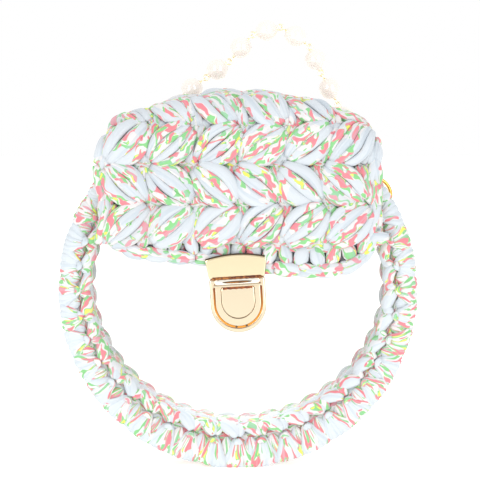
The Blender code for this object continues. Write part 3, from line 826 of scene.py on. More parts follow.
@dataclass
class Gusset:
    """The crocheted band between the rims: rows of V stitches outside, plain rolls inside."""

    start: float = math.radians(35)
    end: float = math.radians(137 - 360)
    seed: int = 31
    rows: int = 3
    stitches: int = 29
    form: GussetForm = field(default_factory=GussetForm)
    levels: tuple[float, ...] = (0.34, 0.46, 0.60, 0.72)

    def body(self, pile: MeshPile, front: float, back: float) -> None:
        """Add the band's solid body, from the front to the back, under its stitches."""
        a, k = crossed(np.linspace(self.start, self.end, 120), np.arange(9))
        outer, _ = self.form.outside(a[:, :5], front + (back - front) * k[:, :5] / 4)
        inner, _ = self.form.inside(a[:, 5:], back + (front - back) * (k[:, 5:] - 5) / 3)
        points = np.concatenate([outer - 0.0016 * unit(outer * [1, 0, 1]), inner], axis=1)
        uv = np.stack(crossed(np.linspace(0, 400, 120), np.linspace(0, 70, 10)), axis=-1)
        pile.add_grid(points, uv, wrap=True)

    def build(self, origin: Vector, material: Material) -> None:
        """Build the gusset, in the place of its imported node.

        Args:
            origin: where the bag's frame stands.
            material: the yarn.
        """
        rng = np.random.default_rng(self.seed)
        pile = MeshPile(origin)
        y0, y1 = self.form.y_front + 0.0004, self.form.y_back - 0.0004
        self.body(pile, y0, y1)
        leg = Strand(0.0058, 0.0042, 0.0006, taper=0.45, pleats=2.5, crease=0.2)
        roll = Strand(0.0080, 0.0036, 0.0004, taper=0.8, pleats=2.5, crease=0.2)
        pitch = (self.end - self.start) / self.stitches
        high = (y1 - y0) / self.rows
        for row in range(self.rows):
            middle = y0 + high * (row + 0.5)
            for i in range(self.stitches):
                angle = self.start + pitch * (i + 0.5 * (row % 2) * (i < self.stitches - 1))
                far = angle + pitch * (1.1 if i < self.stitches - 2 else 0.9)
                for side in (-high, high):
                    ends = (angle, middle + 0.44 * side), (far, middle + 0.08 * side)
                    leg.lay(pile, self.form.outside, *ends, rng, lift=-0.0008, level=self.levels)
                roll.lay(pile, self.form.inside, (angle, middle), (far, middle), rng, level=0.42)
        placed(pile.build("crocheted_gusset", material), "bag", ("gusset",))


@dataclass(frozen=True)
class PuffRow:
    """One row of puff stitches: its place along the flap, its lean and the middles of its puffs, in mm."""

    path: float
    lean: Lean
    middles: tuple[float, ...]


@dataclass
class Flap:
    """The flap: a crocheted ground under rows of leaning puff stitches of three or four strands each."""

    form: FlapForm = field(default_factory=FlapForm)
    seed: int = 7
    seam_seed: int = 23
    length: float = 0.0264
    lean: float = math.radians(41)
    strand_height: float = 0.0072
    strand_spread: float = 0.0042
    strand_bow: float = 0.0056
    strand_roll: float = 0.30
    levels: tuple[float, ...] = (0.26, 0.34, 0.42, 0.52, 0.66, 0.8)
    rows: tuple[PuffRow, ...] = (
        PuffRow(35, Lean.RISING, (-57, -34.5, -10.5, 12, 35, 57.5)),
        PuffRow(55.5, Lean.FALLING, (-58.5, -35, -12, 9.5, 32, 54)),
        PuffRow(76.5, Lean.RISING, (-57, -34.5, -9.5, 13, 37, 58.5)),
        PuffRow(96, Lean.FALLING, (-56, -34.5, -12, 13, 37, 58)),
        PuffRow(117, Lean.RISING, (-52, -31, -9, 13, 35, 54)),
        PuffRow(136, Lean.FALLING, (-46, -27, -8, 12, 31, 48)),
    )

    def ground(self, pile: MeshPile) -> None:
        """Add the thick ground of the flap, which shows between the puffs and inside."""
        rows, columns = 64, 33
        x = self.form.centre_x + self.form.half_width * 0.985 * np.linspace(-1, 1, columns)
        arc = math.pi / 2 * self.form.bend_radius
        reach = self.form.back_reach - (self.form.bend_radius - self.form.seat_gap - self.form.thickness / 2)
        t = np.concatenate([[0], np.linspace(0, 1, rows - 2), [1]])[:, None]
        closed = np.ones((rows, 1, 1))
        closed[0] = closed[-1] = 0.04
        low = self.form.low(x)[None]
        path = low + (self.form.bend(x)[None] + arc + reach - low) * t
        xs = np.repeat(x[None], rows, axis=0)
        points, normals = self.form.at(xs, path)
        edge = np.minimum(1, 6 * (1 - np.abs(np.linspace(-1, 1, columns))))[None, :, None]
        rib = 0.0005 * np.cos(2 * np.pi * path / 0.007)[..., None]
        outer = points + normals * (0.0008 + 0.0014 * edge) * closed
        inner = points - normals * (0.0012 + 0.0030 * edge + rib) * closed
        uv = np.stack(crossed(np.linspace(0, 150, rows), np.linspace(0, 290, 2 * columns + 1))[::-1], axis=-1)
        pile.add_grid(np.concatenate([outer, inner[:, ::-1]], axis=1), uv, wrap=True, level=0.72)

    def seam(self, pile: MeshPile, rng: Chance) -> None:
        """Add the stitches that join the flap's back end to the rim under it."""
        stitch = Strand(0.0086, 0.0052, 0.0008, taper=0.6, pleats=2.4, crease=0.2)

        def fall(x: np.ndarray, down: np.ndarray) -> Places:
            """Return places down the back end, from the flap's outer face to the rim."""
            points, _ = self.form.at(x, 1.0 + 0 * x)
            out = unit(points * [1, 0, 1])
            points = points + [0, 0.0004, 0] + out * (0.0036 - down)[:, None]
            return points, np.array([[0.0, 1.0, 0.0]] * len(x))

        for x in np.arange(-0.0640, 0.0650, 0.0076):
            stitch.lay(pile, fall, (x, 0.0), (x + 0.0030, 0.0092), rng, level=(0.34, 0.48, 0.62))

    def puff(self, pile: MeshPile, x: float, path: float, lean: Lean, rng: Chance) -> None:
        """Add one puff stitch.

        Args:
            pile: what it is added to.
            x: its middle, across.
            path: its middle, along the flap.
            lean: the way it leans.
            rng: the source of its small differences.
        """
        tilt = lean.value * self.lean + rng.uniform(-0.08, 0.08)
        along = np.array([math.cos(tilt), math.sin(tilt)])
        across = np.array([-along[1], along[0]])
        middle = np.array([x, path])
        count = 3 if rng.random() < 0.5 else 4
        order = rng.permutation(count)
        for k in range(count):
            place = (k + 0.5) / count * 2 - 1
            width = 0.0215 / count * rng.uniform(1.0, 1.3)
            strand = Strand(width, self.strand_height, 0.0027, 0.52, rng.uniform(1.6, 3.0), 0.14, sides=18,
                            steps=16)
            near = middle + across * place * self.strand_spread
            ends = [near - along * self.length / 2, near + along * self.length / 2]
            strand.lay(pile, self.form.at, *ends, rng, bow=-place * self.strand_bow,
                       lift=0.0006 + 0.0004 * order[k], level=self.levels, roll=place * self.strand_roll)

    def build(self, origin: Vector, material: Material) -> None:
        """Build the flap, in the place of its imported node.

        Args:
            origin: where the bag's frame stands.
            material: the yarn.
        """
        rng = np.random.default_rng(self.seed)
        pile = MeshPile(origin)
        self.ground(pile)
        self.seam(pile, np.random.default_rng(self.seam_seed))
        link = Strand(0.0062, 0.0050, 0.0016, taper=0.5, pleats=2.0, crease=0.2)
        for row in self.rows:
            for x in row.middles:
                self.puff(pile, x * MM, row.path * MM, row.lean, rng)
            gaps = [(a + b) / 2 for a, b in zip(row.middles, row.middles[1:])]
            for x in [row.middles[0] - 11, *gaps, row.middles[-1] + 10.5]:
                slant = row.lean.value * rng.uniform(1.5, 3.5)
                for part in (-1, 1):
                    middle = x + part * 1.9
                    link.lay(pile, self.form.at, ((middle - slant) * MM, (row.path - 10) * MM),
                             ((middle + slant) * MM, (row.path + 10) * MM), rng, bow=-part * 0.0006,
                             lift=0.0004, level=(0.5, 0.62, 0.74))
        placed(pile.build("puff_stitch_flap", material), "bag", ("flap",))


@dataclass
class FlapEdging:
    """The flap's border: a row of posts and a chain along the lower edge, and a chain up each side."""

    form: FlapForm = field(default_factory=FlapForm)
    seed: int = 19
    post_pitch: float = 0.0082
    chain_pitch: float = 0.0112
    bottom_width: float = 0.0125
    levels: tuple[float, ...] = (0.34, 0.46, 0.58, 0.72)

    def edge(self, t: np.ndarray, off: np.ndarray) -> Places:
        """Find places along the lower edge.

        Args:
            t: distance across, from the bag's centre.
            off: distance below the flap's lower edge.

        Returns:
            Points and outward directions.
        """
        return self.form.front(t, self.form.low(t) - off)

    def side(self, height: np.ndarray, x: np.ndarray) -> Places:
        """Return places on the flap's sides, by height and distance across."""
        points, normals = self.form.at(x, height)
        return points, unit(normals + np.stack([1.2 * np.sign(x), 0 * x, 0 * x], axis=-1))

    def build(self, origin: Vector, material: Material) -> None:
        """Build the border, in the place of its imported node.

        Args:
            origin: where the bag's frame stands.
            material: the yarn.
        """
        rng = np.random.default_rng(self.seed)
        pile = MeshPile(origin)
        post = Strand(0.0078, 0.0064, 0.0006, taper=0.55, pleats=2.6, crease=0.2)
        leg = Strand(0.0056, 0.0060, 0.0006, taper=0.5, pleats=2.4, crease=0.2)
        left = self.form.centre_x - self.form.half_width
        right = self.form.centre_x + self.form.half_width
        backing = Strand(0.0130, 0.0030, 0.0004, taper=0.9, pleats=2.6, crease=0.2)
        for x in np.arange(left + 0.006, right - 0.014, 0.014):
            backing.lay(pile, self.edge, (x, 0.0026), (x + 0.017, 0.0026), rng, lift=-0.0024, level=0.5)
        for i, x in enumerate(np.arange(left + 0.003, right - 0.002, self.post_pitch)):
            lean = 0.0016 if i % 2 else -0.0016
            under = -0.0016 if -0.020 < x < 0.0155 else 0.0
            post.lay(pile, self.edge, (x - lean, -0.0030), (x + lean, self.bottom_width - 0.0052), rng,
                     lift=0.0002 + under, level=self.levels)
        for x in np.arange(left - 0.002, right - 0.004, self.chain_pitch):
            under = -0.0022 if -0.029 < x < 0.0135 else 0.0
            for row, off in ((0, 0.0018), (1, -0.0018)):
                leg.lay(pile, self.edge, (x, self.bottom_width - 0.0034 + off),
                        (x + 1.25 * self.chain_pitch, self.bottom_width - 0.0034 + off * 0.2), rng,
                        lift=0.0006 * row + under, bow=0.0004, level=self.levels)
        for sign, edge in ((-1, left), (1, right)):
            low = float(self.form.low(np.array(edge)))
            high = float(self.form.bend(np.array(edge))) + 0.008
            for z in np.arange(low - 0.004, high, self.chain_pitch):
                for off in (-0.0020, 0.0018):
                    end = (z + 1.25 * self.chain_pitch, edge + sign * 0.0002)
                    start = (z, edge + sign * (0.0002 + off))
                    leg.lay(pile, self.side, start, end, rng, level=self.levels)
        placed(pile.build("crocheted_flap_border", material), "bag", ("flap_edging",))


# The lock


@dataclass(frozen=True)
class ArchShape:
    """A flat-topped U with rounded corners, in the lock's own frame."""

    width: float
    top: float
    bottom: float
    corner: float = 0.0008
    shoulder: float = 0.0
    shoulder_width: float = 0.0

    def inset(self, by: float) -> ArchShape:
        """Return the shape that lies inside this one by a distance."""
        return ArchShape(self.width - 2 * by, self.top - by, self.bottom + by, max(self.corner - by, 0.0002),
                         self.shoulder, max(self.shoulder_width - 2 * by, 0.0))

    def points(self) -> np.ndarray:
        """Return the outline as (x, z) points, from the middle of its top to the right and round."""
        half, c = self.width / 2, self.corner
        arc = np.linspace(np.pi / 2, 0, 7)
        right = [np.stack([np.linspace(0, half - c, 8)[:-1], np.full(7, self.top)], axis=-1),
                 np.stack([half - c + c * np.cos(arc), self.top - c + c * np.sin(arc)], axis=-1)]
        low = self.bottom + half
        right.append(np.stack([np.full(16, half), np.linspace(self.top - c, low, 18)[1:-1]], axis=-1))
        turn = np.linspace(0, np.pi / 2, 18)
        right.append(np.stack([half * np.cos(turn), low - half * np.sin(turn)], axis=-1))
        line = np.concatenate(right)
        if self.shoulder_width:
            high = line[:, 1] > self.shoulder
            line[high, 0] = np.minimum(line[high, 0], self.shoulder_width / 2)
        return np.concatenate([line, (line * [-1, 1])[-2:0:-1]])


@dataclass(frozen=True)
class PlateShape:
    """The flap plate's outline: narrow at its lower edge, with an arched top."""

    half_top: float = 0.0161
    half_bottom: float = 0.0145
    low: float = 0.0
    corner_height: float = 0.0098
    rise: float = 0.0022

    def inset(self, by: float) -> PlateShape:
        """Return the shape that lies inside this one by a distance."""
        return PlateShape(self.half_top - by, self.half_bottom - by, self.low + by, self.corner_height - by,
                          self.rise)

    def arch(self, share: np.ndarray) -> np.ndarray:
        """Return points on the arched top, by their share of its half width."""
        return np.stack([self.half_top * share, self.corner_height + self.rise * (1 - share ** 2)], axis=-1)

    def points(self) -> np.ndarray:
        """Return the outline as (x, z) points, from the middle of its top to the right and round."""
        top = self.arch(np.linspace(0, 1, 14))
        side = np.stack([np.linspace(self.half_top, self.half_bottom, 10),
                         np.linspace(self.corner_height, self.low, 10)], axis=-1)[1:]
        bottom = np.stack([np.linspace(self.half_bottom, 0, 12), np.full(12, self.low)], axis=-1)[1:]
        line = np.concatenate([top, side, bottom])
        return np.concatenate([line, (line * [-1, 1])[-2:0:-1]])


@dataclass
class TuckLock:
    """The tuck lock: a plate on the flap's edge, a U-shaped case on the front panel, and its push button."""

    place: tuple[float, float] = (-0.0005, 0.0073)
    roll: float = math.radians(3.5)
    front: float = -0.0055
    plate_back: float = 0.0034
    case_back: float = 0.0057
    button_proud: float = 0.0003
    button_thickness: float = 0.0038
    edge: float = 0.0009
    plate: PlateShape = field(default_factory=PlateShape)
    case: ArchShape = field(default_factory=lambda: ArchShape(0.0290, -0.0004, -0.0286, 0.0012))
    pocket: ArchShape = field(
        default_factory=lambda: ArchShape(0.0254, -0.0030, -0.0262, 0.0010, -0.0046, 0.0239))
    button: ArchShape = field(default_factory=lambda: ArchShape(0.0236, -0.0032, -0.0253, 0.0012))
    dish: ArchShape = field(default_factory=lambda: ArchShape(0.0178, -0.0043, -0.0214, 0.0020))

    def ring(self, outline: np.ndarray, y: float) -> np.ndarray:
        """Return an outline of the lock at a depth, in the bag's frame."""
        c, s = math.cos(self.roll), math.sin(self.roll)
        x = self.place[0] + outline[:, 0] * c - outline[:, 1] * s
        z = self.place[1] + outline[:, 0] * s + outline[:, 1] * c
        return np.stack([x, np.full(len(outline), y), z], axis=-1)

    def rounded(self, shape: ArchShape | PlateShape, y: float, radius: float,
                out: float = 1.0) -> list[np.ndarray]:
        """Return the rings of a rounded edge, from the side onto the front face.

        Args:
            shape: the outline.
            y: the depth of the front face.
            radius: the edge's radius.
            out: 1 for an outer edge, -1 for the edge of a pocket, whose rings then run the other way.

        Returns:
            The rings, in order.
        """
        turns = np.linspace(0, math.pi / 2, 6)
        lines = [shape.inset(out * radius * (1 - math.cos(a))).points() for a in turns]
        rings = [self.ring(line, y + radius * (1 - math.sin(a))) for line, a in zip(lines, turns)]
        rings.append(self.ring(shape.inset(out * (radius + 0.0001)).points(), y))
        return rings if out > 0 else rings[::-1]

    def cap(self, shape: ArchShape | PlateShape, y: float) -> list[np.ndarray]:
        """Return the rings that close a flat face towards its middle."""
        line = shape.points()
        middle = line.mean(axis=0)
        return [self.ring(middle + (line - middle) * k, y) for k in (0.97, 0.6, 0.25, 0.0)]

    def strip(self, pile: MeshPile, low: np.ndarray, high: np.ndarray, y: float, slot: int,
              bulge: float = 0.0) -> None:
        """Add a flat or rounded strip between two lines of the lock's own (x, z) points.

        Args:
            pile: what it is added to.
            low: its lower line.
            high: its upper line.
            y: its depth.
            slot: the number of its material.
            bulge: how far its middle stands out.
        """
        turns = np.linspace(0, math.pi, 9 if bulge else 2)
        lines = [low + (high - low) * (0.5 - 0.5 * math.cos(a)) for a in turns]
        rows = [self.ring(line, y - bulge * math.sin(a)) for line, a in zip(lines, turns)]
        pile.add_grid(np.stack(rows), slot=slot)

    @staticmethod
    def bar(half: float, low: float, high: float, end: float, ragged: float = 0.0) -> Places:
        """Return the lower and upper lines of a bar with rounded ends, straight or a little ragged."""
        x = half * np.sin(np.linspace(-np.pi / 2, np.pi / 2, 41))
        near = np.clip((half - np.abs(x)) / end, 0, 1)
        reach = (high - low) / 2 * np.sqrt(1 - (1 - near) ** 2) + 0.00001
        wave = ragged * (np.sin(x * 2100) + 0.6 * np.sin(x * 4700 + 1))
        middle = (low + high) / 2
        return (np.stack([x, middle - reach + wave * near], axis=-1),
                np.stack([x, middle + reach + 0.4 * wave[::-1] * near], axis=-1))

    def clip(self, origin: Vector, metals: tuple[Material, ...]) -> None:
        """Build the plate on the flap's lower edge, with its tongue and a strip of painted shade over its
        top.
        """
        pile = MeshPile(origin)
        side = self.ring(self.plate.points(), self.front + 0.0015)
        face = self.rounded(self.plate, self.front, 0.0007) + self.cap(self.plate.inset(0.0008), self.front)
        back = [self.ring(self.plate.points(), y) for y in (self.plate_back - 0.0015, self.plate_back)]
        pile.add_rings([side, *face])
        pile.add_rings([self.ring(self.plate.inset(0.0012).points(), self.front + 0.0015), side])
        pile.add_rings(back + self.cap(self.plate, self.plate_back))
        hem = np.array([[-0.0124, 0.0], [0.0124, 0.0], [0.0124, 0.0012], [-0.0124, 0.0012]])
        pile.add_rings([self.ring(hem, y) for y in (self.front + 0.0012, self.plate_back - 0.0004)])
        tongue = np.array([[-0.0095, 0.0008], [0.0095, 0.0008], [0.0090, -0.0055], [-0.0090, -0.0055]])
        walls = [self.ring(tongue, self.plate_back - 0.0013), self.ring(tongue, self.plate_back)]
        ends = [np.repeat(wall.mean(axis=0)[None], 4, axis=0) for wall in walls]
        pile.add_rings([ends[0], *walls, ends[1]])
        arch = self.plate.arch(np.linspace(-0.985, 0.985, 31))
        # Painted shade: a dark strip along the arched top edge, where the bevel would mirror something dark
        self.strip(pile, arch - [0, 0.0001], arch + [0, 0.0006], self.front + 0.0003, Metal.SHADE_LINE, 0.0003)
        placed(pile.build("plated_flap_clip", *metals), "bag", ("lock_flap_plate",))

    def body(self, origin: Vector, metals: tuple[Material, ...]) -> None:
        """Build the case: its outer band, the groove round the button with its painted reflection, and above
        it a lip of painted highlight and a slot of painted shade.
        """
        pile = MeshPile(origin)
        outside = self.ring(self.case.points(), self.case_back)
        floor = self.ring(self.pocket.points(), self.front + 0.0009)
        gap = self.button.inset(-0.00015).points()
        inner, deep = self.ring(gap, self.front + 0.0009), self.ring(gap, self.front + 0.0053)
        pile.add_rings([outside, *self.rounded(self.case, self.front, self.edge),
                        *self.rounded(self.pocket, self.front, 0.0003, -1), floor])
        # Painted reflection: the groove between pocket and button is amber, red-brown at its top
        pile.add_rings([floor, inner], Metal.GROOVE_REFLECTION)
        pile.add_rings([inner, deep, *self.cap(self.button, self.front + 0.0053)])
        pile.add_rings([outside, *self.cap(self.case, self.case_back)])

        # From the top down: a seam line of painted shade, a lip of painted highlight with a slot of painted
        # shade, and a plain bar over the button's top
        for lines, proud, metal, bulge in (
                (self.bar(0.0129, -0.0005, 0.0006, 0.0006, 0.00016), 0.0007, Metal.SEAM_SHADE, 0.0),
                (self.bar(0.0117, -0.0036, -0.0006, 0.0014), 0.0001, Metal.LIP_HIGHLIGHT, 0.0004),
                (self.bar(0.0078, -0.0029, -0.0016, 0.0070), 0.00053, Metal.SHADE_LINE, 0.0),
                (self.bar(0.0060, -0.0025, -0.0022, 0.0050), 0.00058, Metal.SEAM_SHADE, 0.0),
                (self.bar(0.0126, -0.0047, -0.0034, 0.0006), 0.0004, Metal.FACE, 0.0003)):
            self.strip(pile, *lines, self.front - proud, metal, bulge)
        # Two small spots of painted shade at the bottom of the groove
        for x, z in ((-0.0018, -0.0257), (0.0036, -0.0253)):
            low, high = self.bar(0.0006, z - 0.0004, z + 0.0004, 0.0005)
            self.strip(pile, low + [x, 0], high + [x, 0], self.front + 0.0007, Metal.SHADE_LINE)
        # Painted shade: a dark line along the lower part of the pocket's edge
        line, edge = self.pocket.inset(-0.0003).points(), self.pocket.inset(-0.00055).points()
        low = line[:, 1] < -0.0185
        self.strip(pile, edge[low], line[low], self.front - 0.00004, Metal.SHADE_LINE)
        placed(pile.build("plated_lock_case", *metals), "bag", ("lock_case",))

    def push_button(self, origin: Vector, metals: tuple[Material, ...]) -> None:
        """Build the push button, with its sunk D, a fine line of painted shade round it and a band of painted
        shade along its top.
        """
        pile = MeshPile(origin)
        y = self.front - self.button_proud
        back = y + self.button_thickness
        rear = self.ring(self.button.points(), back)
        lip = self.rounded(self.dish, y, 0.00015, -1)
        wall = self.ring(self.dish.points(), y + 0.0004)
        moat = self.ring(self.dish.inset(0.0003).points(), y + 0.0004)
        face = self.dish.inset(0.0005)
        pile.add_rings([rear, *self.rounded(self.button, y, 0.0005), *lip])
        # Painted shade: the step down into the D is dark all round
        pile.add_rings([lip[-1], wall, moat], Metal.SHADE_LINE)
        pile.add_rings([moat, self.ring(face.points(), y + 0.0002), *self.cap(face, y + 0.0002)])
        # Painted shade: a red-brown band along the top of the D
        self.strip(pile, *self.bar(0.0078, -0.0059, -0.0045, 0.0004, 0.00012), y + 0.00012, Metal.SHADE)
        pile.add_rings([rear, *self.cap(self.button, back)])
        placed(pile.build("plated_push_button", *metals), "lock_button", ("lock_button",))

    def build(self, origin: Vector, gold: Material) -> None:
        """Build the lock's three pieces.

        Args:
            origin: where the bag's frame stands.
            gold: the plate's metal.
        """
        case = PlatedMetal("light_gold_plated_lock_case", "#D0C2A9").material()
        # Painted shade and reflection: dark and amber lines for the lock's edges, groove, seam and the top of
        # the D
        shades = (
            GrooveShade("painted_shade_line_in_gold", "#2E2010", "#5E4A30", 0.0240, -0.0200),
            GrooveShade("painted_reflection_groove_in_gold"),
            GrooveShade("painted_shade_seam_in_gold", "#4E1606", "#C07A30", 0.0086, 0.0042, 0.3, 14.0),
            GrooveShade("red_brown_shade_in_gold", "#56180A", "#B4641E", 0.0036, -0.0010, 0.3, 14.0),
        )
        # Painted highlight: a near-white gold for the lip over the button
        lip = PlatedMetal("painted_highlight_gold_lip", "#FBF6EA", "#D8C090", 0.1).material()
        others = (*(shade.material(origin) for shade in shades), lip)
        self.clip(origin, (gold, *others))
        self.body(origin, (case, *others))
        self.push_button(origin, (case, *others))


# The handle chain


@dataclass
class PearlChain:
    """The handle: two legs of linked pearls that meet at the top link, each on a clasp and a ring."""

    pearl_radius: float = 0.0061
    eye_radius: float = 0.00155
    eye_wire: float = 0.0004
    eye_seat: float = 0.00025
    clearance: float = 0.0003
    collar_radius: float = 0.0008
    collar_wire: float = 0.0003
    collar_sink: float = 0.0001
    hook: Point = (0.0236, 0.0656, 0.1393)
    left_slopes: tuple[float, ...] = (15.0, 50.0, 34.0, 40.0, 45.0)
    right_slopes: tuple[float, ...] = (34.0, 66.0, 62.0, 64.0)
    ring_degs: Spot = (139.0, 33.0)
    ring_radius: float = 0.0090
    ring_wire: float = 0.0010
    ring_seat: float = 0.0890
    ring_tilt: float = math.radians(20)
    bag_depth: float = 0.0580
    clasp_half: float = 0.0030
    clasp_wire: float = 0.0005

    @staticmethod
    def tube(path: np.ndarray, across: np.ndarray, radius: float, sides: int = 12) -> np.ndarray:
        """Return the grid of a wire along a closed path, whose plane is square to a direction."""
        step = np.roll(path, -1, axis=0) - np.roll(path, 1, axis=0)
        out = unit(np.cross(step, across))
        phi = circle(sides)[None, :, None]
        grid = path[:, None] + radius * (np.cos(phi) * out[:, None] + np.sin(phi) * across)
        return np.concatenate([grid, grid[:1]])

    def loop(self, centre: np.ndarray, x_axis: np.ndarray, y_axis: np.ndarray, radius: float, wire: float,
             steps: int = 48) -> np.ndarray:
        """Return the grid of a round wire loop in the plane of two axes."""
        t = circle(steps)[:, None]
        path = centre + radius * (np.cos(t) * x_axis + np.sin(t) * y_axis)
        return self.tube(path, np.cross(x_axis, y_axis), wire)

    def bead(self, origin: Vector, name: str, start: np.ndarray, direction: np.ndarray, upright: bool,
             materials: tuple[Material, Material]) -> Places:
        """Build one pearl with its two eyes.

        Args:
            origin: where the bag's frame stands.
            name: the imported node's name.
            start: the link point of its first eye.
            direction: the way the chain runs.
            upright: True where the eyes stand square to the chain's plane.
            materials: the pearl coat and the gold.

        Returns:
            The next link point and the middle of its last eye.
        """
        step = 2 * (self.eye_radius - self.eye_wire) - self.clearance
        offset = self.eye_radius if upright else step - self.eye_radius
        arm = self.pearl_radius + self.eye_radius + self.eye_wire - self.eye_seat
        centre = start + direction * (offset + arm)
        depth = np.array([0.0, 1.0, 0.0])
        side = depth if upright else np.cross(direction, depth)
        third = np.cross(direction, side)
        pile = MeshPile(origin)
        lat, lon = crossed(np.linspace(0, np.pi, 21), circle(32))
        ball = (np.cos(lat)[..., None] * direction + np.sin(lat)[..., None]
                * (np.cos(lon)[..., None] * side + np.sin(lon)[..., None] * third))
        pile.add_grid(centre + ball * self.pearl_radius, wrap=True)
        for end in (-1, 1):
            middle = centre + direction * end * arm
            eye = self.loop(middle, direction, side, self.eye_radius, self.eye_wire, 24)
            foot = centre + direction * end * (self.pearl_radius - self.collar_sink)
            collar = self.loop(foot, side, third, self.collar_radius, self.collar_wire, 16)
            for wire in (eye, collar):
                pile.add_grid(wire, wrap=True, slot=1)
        placed(pile.build(name.replace("pearl", "coated_pearl"), *materials), "bag", (name,))
        return centre + direction * (arm + offset), centre + direction * arm

    def leg(self, origin: Vector, word: str, slopes: tuple[float, ...], side: int, ring_deg: float,
            finishes: tuple[Material, Material, Material]) -> None:
        """Build one leg: its pearls, clasp link and ring.

        Args:
            origin: where the bag's frame stands.
            word: left or right.
            slopes: each pearl's slope below the horizontal, in degrees.
            side: -1 or 1, the way it runs from the top link.
            ring_deg: the ring's place round the bag.
            finishes: the pearl coat, the pale wire and the deeper gold.
        """
        pearl, wire, rich = finishes
        link = np.array(self.hook)
        eye = link
        for i, slope in enumerate(slopes):
            angle = math.radians(slope)
            direction = np.array([side * math.cos(angle), 0.0, -math.sin(angle)])
            upright = (len(slopes) - 1 - i) % 2 == 1
            link, eye = self.bead(origin, f"pearl_{word}_{i + 1}", link, direction, upright, (pearl, wire))
        turn = math.radians(ring_deg)
        radial = np.array([math.cos(turn), 0.0, math.sin(turn)])
        centre = radial * self.ring_seat + np.array([0.0, self.bag_depth, 0.0])
        outward = radial * math.cos(self.ring_tilt) + np.array([0.0, math.sin(self.ring_tilt), 0.0])
        pull = unit(eye - centre)
        across = unit(outward - outward.dot(pull) * pull)
        pile = MeshPile(origin)
        pile.add_grid(self.loop(centre, pull, across, self.ring_radius, self.ring_wire, 64), wrap=True)
        placed(pile.build(f"wire_ring_{word}", rich), "bag", (f"ring_{word}",))

        start = centre + pull * (self.ring_radius - self.ring_wire - self.clasp_wire - self.clearance)
        length = float(np.linalg.norm(eye - start))
        normal = np.cross(pull, across)
        path = []
        for end, reach in ((1, length - self.clasp_half), (-1, self.clasp_half)):
            for a in np.linspace(-np.pi / 2, np.pi / 2, 16):
                out = (pull * math.cos(a) + normal * math.sin(a)) * end
                path.append(start + pull * reach + out * self.clasp_half)
        pile = MeshPile(origin)
        pile.add_grid(self.tube(np.array(path), across, self.clasp_wire), wrap=True)
        placed(pile.build(f"wire_clasp_{word}", wire), "bag", (f"clasp_{word}",))

    def build(self, origin: Vector) -> None:
        """Build both legs, with pale wire for the eyes and clasps and deeper gold for the rings."""
        finishes = (PearlCoat().material(),
                    PlatedMetal("pale_gold_wire", "#FFF0CC", "#E8C888", 0.22).material(),
                    PlatedMetal("deep_gold_wire", "#E6B25C", "#7A4A12", 0.16).material())
        self.leg(origin, "left", self.left_slopes, -1, self.ring_degs[0], finishes)
        self.leg(origin, "right", self.right_slopes, 1, self.ring_degs[1], finishes)


# The studio


@dataclass(frozen=True)
class Lamp:
    """A white area light, with its place and aim in the bag's frame, its size and its watts.

    A seen one shows in the metal. A tall one is a strip that only the gloss of the pearls and metal takes up.
    """

    name: str
    place: Point
    size: float
    watts: float
    aim: Point = (0.0, 0.0, 0.0)
    spread_deg: float = 180.0
    seen: bool = False
    tall: float = 0.0

    def build(self, origin: Vector) -> None:
        """Add the light to the scene."""
        lamp = bpy.data.lights.new(self.name, "AREA")
        lamp.size = self.size
        if self.tall:
            lamp.shape = "RECTANGLE"
            lamp.size_y = self.tall
        lamp.energy = self.watts
        lamp.spread = math.radians(self.spread_deg)
        obj = bpy.data.objects.new(self.name, lamp)
        place, aim = origin + Vector(self.place), origin + Vector(self.aim)
        obj.location = place
        obj.rotation_euler = (aim - place).to_track_quat("-Z", "Y").to_euler()
        obj.visible_camera = obj.visible_transmission = False
        obj.visible_glossy = self.seen or self.tall > 0
        obj.visible_diffuse = self.tall == 0
        bpy.context.scene.collection.objects.link(obj)


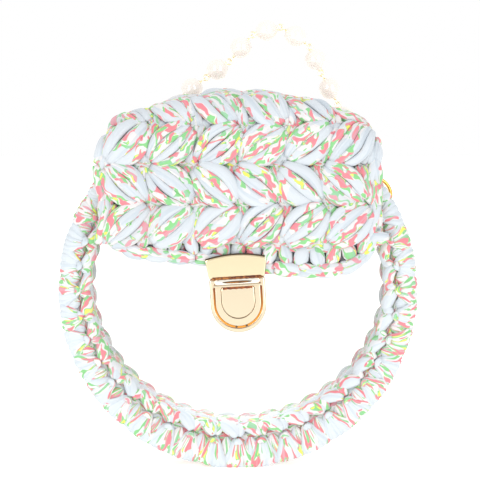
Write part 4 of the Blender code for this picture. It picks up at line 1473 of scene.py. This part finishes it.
@dataclass
class Studio:
    """A pale floor under soft light, and the camera where the photograph was taken."""

    eye: Point = (0.0011, -1.2, 0.094)
    target: Point = (0.0011, 0.0, 0.0265)
    lens: float = 173.1
    floor_drop: float = 0.0934
    paper: str = "#FAFAF8"
    floor_glow: float = 0.5
    lamps: tuple[Lamp, ...] = (
        Lamp("left_softbox", (-0.75, -1.1, 0.25), 0.6, 2.2, seen=True),
        Lamp("right_softbox", (0.75, -1.1, 0.25), 0.6, 2.2, seen=True),
        Lamp("key_softbox", (-0.6, -0.9, 0.9), 0.8, 1.2),
        Lamp("low_softbox", (0.0, -0.8, 0.0), 0.2, 0.007, (0.0, 0.03, -0.07), 18.0),
        Lamp("inner_softbox", (0.0, 0.029, 0.03), 0.02, 0.02, (0.0, 0.029, -0.08), 85.0),
        Lamp("left_strip", (-0.62, -0.95, 0.05), 0.42, 12.0, tall=2.0),
        Lamp("right_strip", (0.62, -0.95, 0.05), 0.42, 12.0, tall=2.0),
        Lamp("top_softbox", (0.2, 0.5, 1.1), 0.9, 2.5),
    )

    def backdrop(self) -> Material:
        """Return matt white paper, with its faint tooth."""
        nodes = Shading("matt_white_paper")
        tooth = nodes.bump(nodes.noise(nodes.place(), 1.5 * MM, 3.0), 0.05, 0.1)
        return nodes.done(nodes.skin(base_color=linear(self.paper), roughness=0.95, normal=tooth,
                                     emission_color=linear(self.paper), emission_strength=self.floor_glow))

    def build(self, origin: Vector) -> None:
        """Build the floor, lights and camera.

        Args:
            origin: where the bag's frame stands.
        """
        scene = bpy.context.scene
        mesh = bpy.data.meshes.new("paper_floor")
        z = origin.z - self.floor_drop
        mesh.from_pydata([(-4, -3, z), (4, -3, z), (4, 8, z), (-4, 8, z)], [], [(0, 1, 2, 3)])
        mesh.materials.append(self.backdrop())
        floor = bpy.data.objects.new("paper_floor", mesh)
        scene.collection.objects.link(floor)

        world = bpy.data.worlds.new("white_room")
        world.use_nodes = True
        world.node_tree.nodes["Background"].inputs["Color"].default_value = linear("#FFFFFF")
        world.node_tree.nodes["Background"].inputs["Strength"].default_value = 1.0
        scene.world = world
        for lamp in self.lamps:
            lamp.build(origin)

        lens = bpy.data.cameras.new("photo_camera")
        lens.lens = self.lens
        lens.sensor_width = 36
        lens.clip_start = 0.01
        camera = bpy.data.objects.new("photo_camera", lens)
        camera.location = origin + Vector(self.eye)
        camera.rotation_euler = (Vector(self.target) - Vector(self.eye)).to_track_quat("-Z", "Y").to_euler()
        scene.collection.objects.link(camera)
        scene.camera = camera
        scene.view_settings.view_transform = "Standard"


def main() -> None:
    """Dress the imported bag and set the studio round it."""
    logging.basicConfig(level=logging.INFO, format="%(name)s %(message)s")
    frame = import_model()
    low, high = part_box("front_panel")
    origin = Vector(((low.x + high.x) / 2, (low.y + high.y) / 2 - 0.0075, (low.z + high.z) / 2))
    Studio().build(origin)

    yarn = PrintedJersey().material()
    # Painted light: the rims get a lighter copy of the same jersey, with weaker painted shade, standing in
    # for brighter light on them
    rim_yarn_painted_lighter = PrintedJersey("printed_cotton_jersey_rim_ribbon_painted_lighter", "#CCD3D9", "#DDDADA", crease="#B0BEC9",
                             hollow_shade="#66727A", hollow_shade_full=0.6, hollow_shade_share=0.3).material()
    gold = PlatedMetal().material()
    clear = ClearAcrylic().material()

    Rim(Face.FRONT, "front_rim", 3).build(origin, rim_yarn_painted_lighter)
    Rim(Face.BACK, "back_rim", 5).build(origin, rim_yarn_painted_lighter)
    Gusset().build(origin, yarn)
    Flap().build(origin, yarn)
    FlapEdging().build(origin, yarn)
    TuckLock().build(origin, gold)
    PearlChain().build(origin)
    for name, material in (("front_panel", clear), ("back_panel", clear), ("lock_back_plate", gold)):
        for place in frame["nodes"][name].material_slots:
            place.material = material
        LOG.info("%s: packed node, dressed", name)


if __name__ == "__main__":
    main()
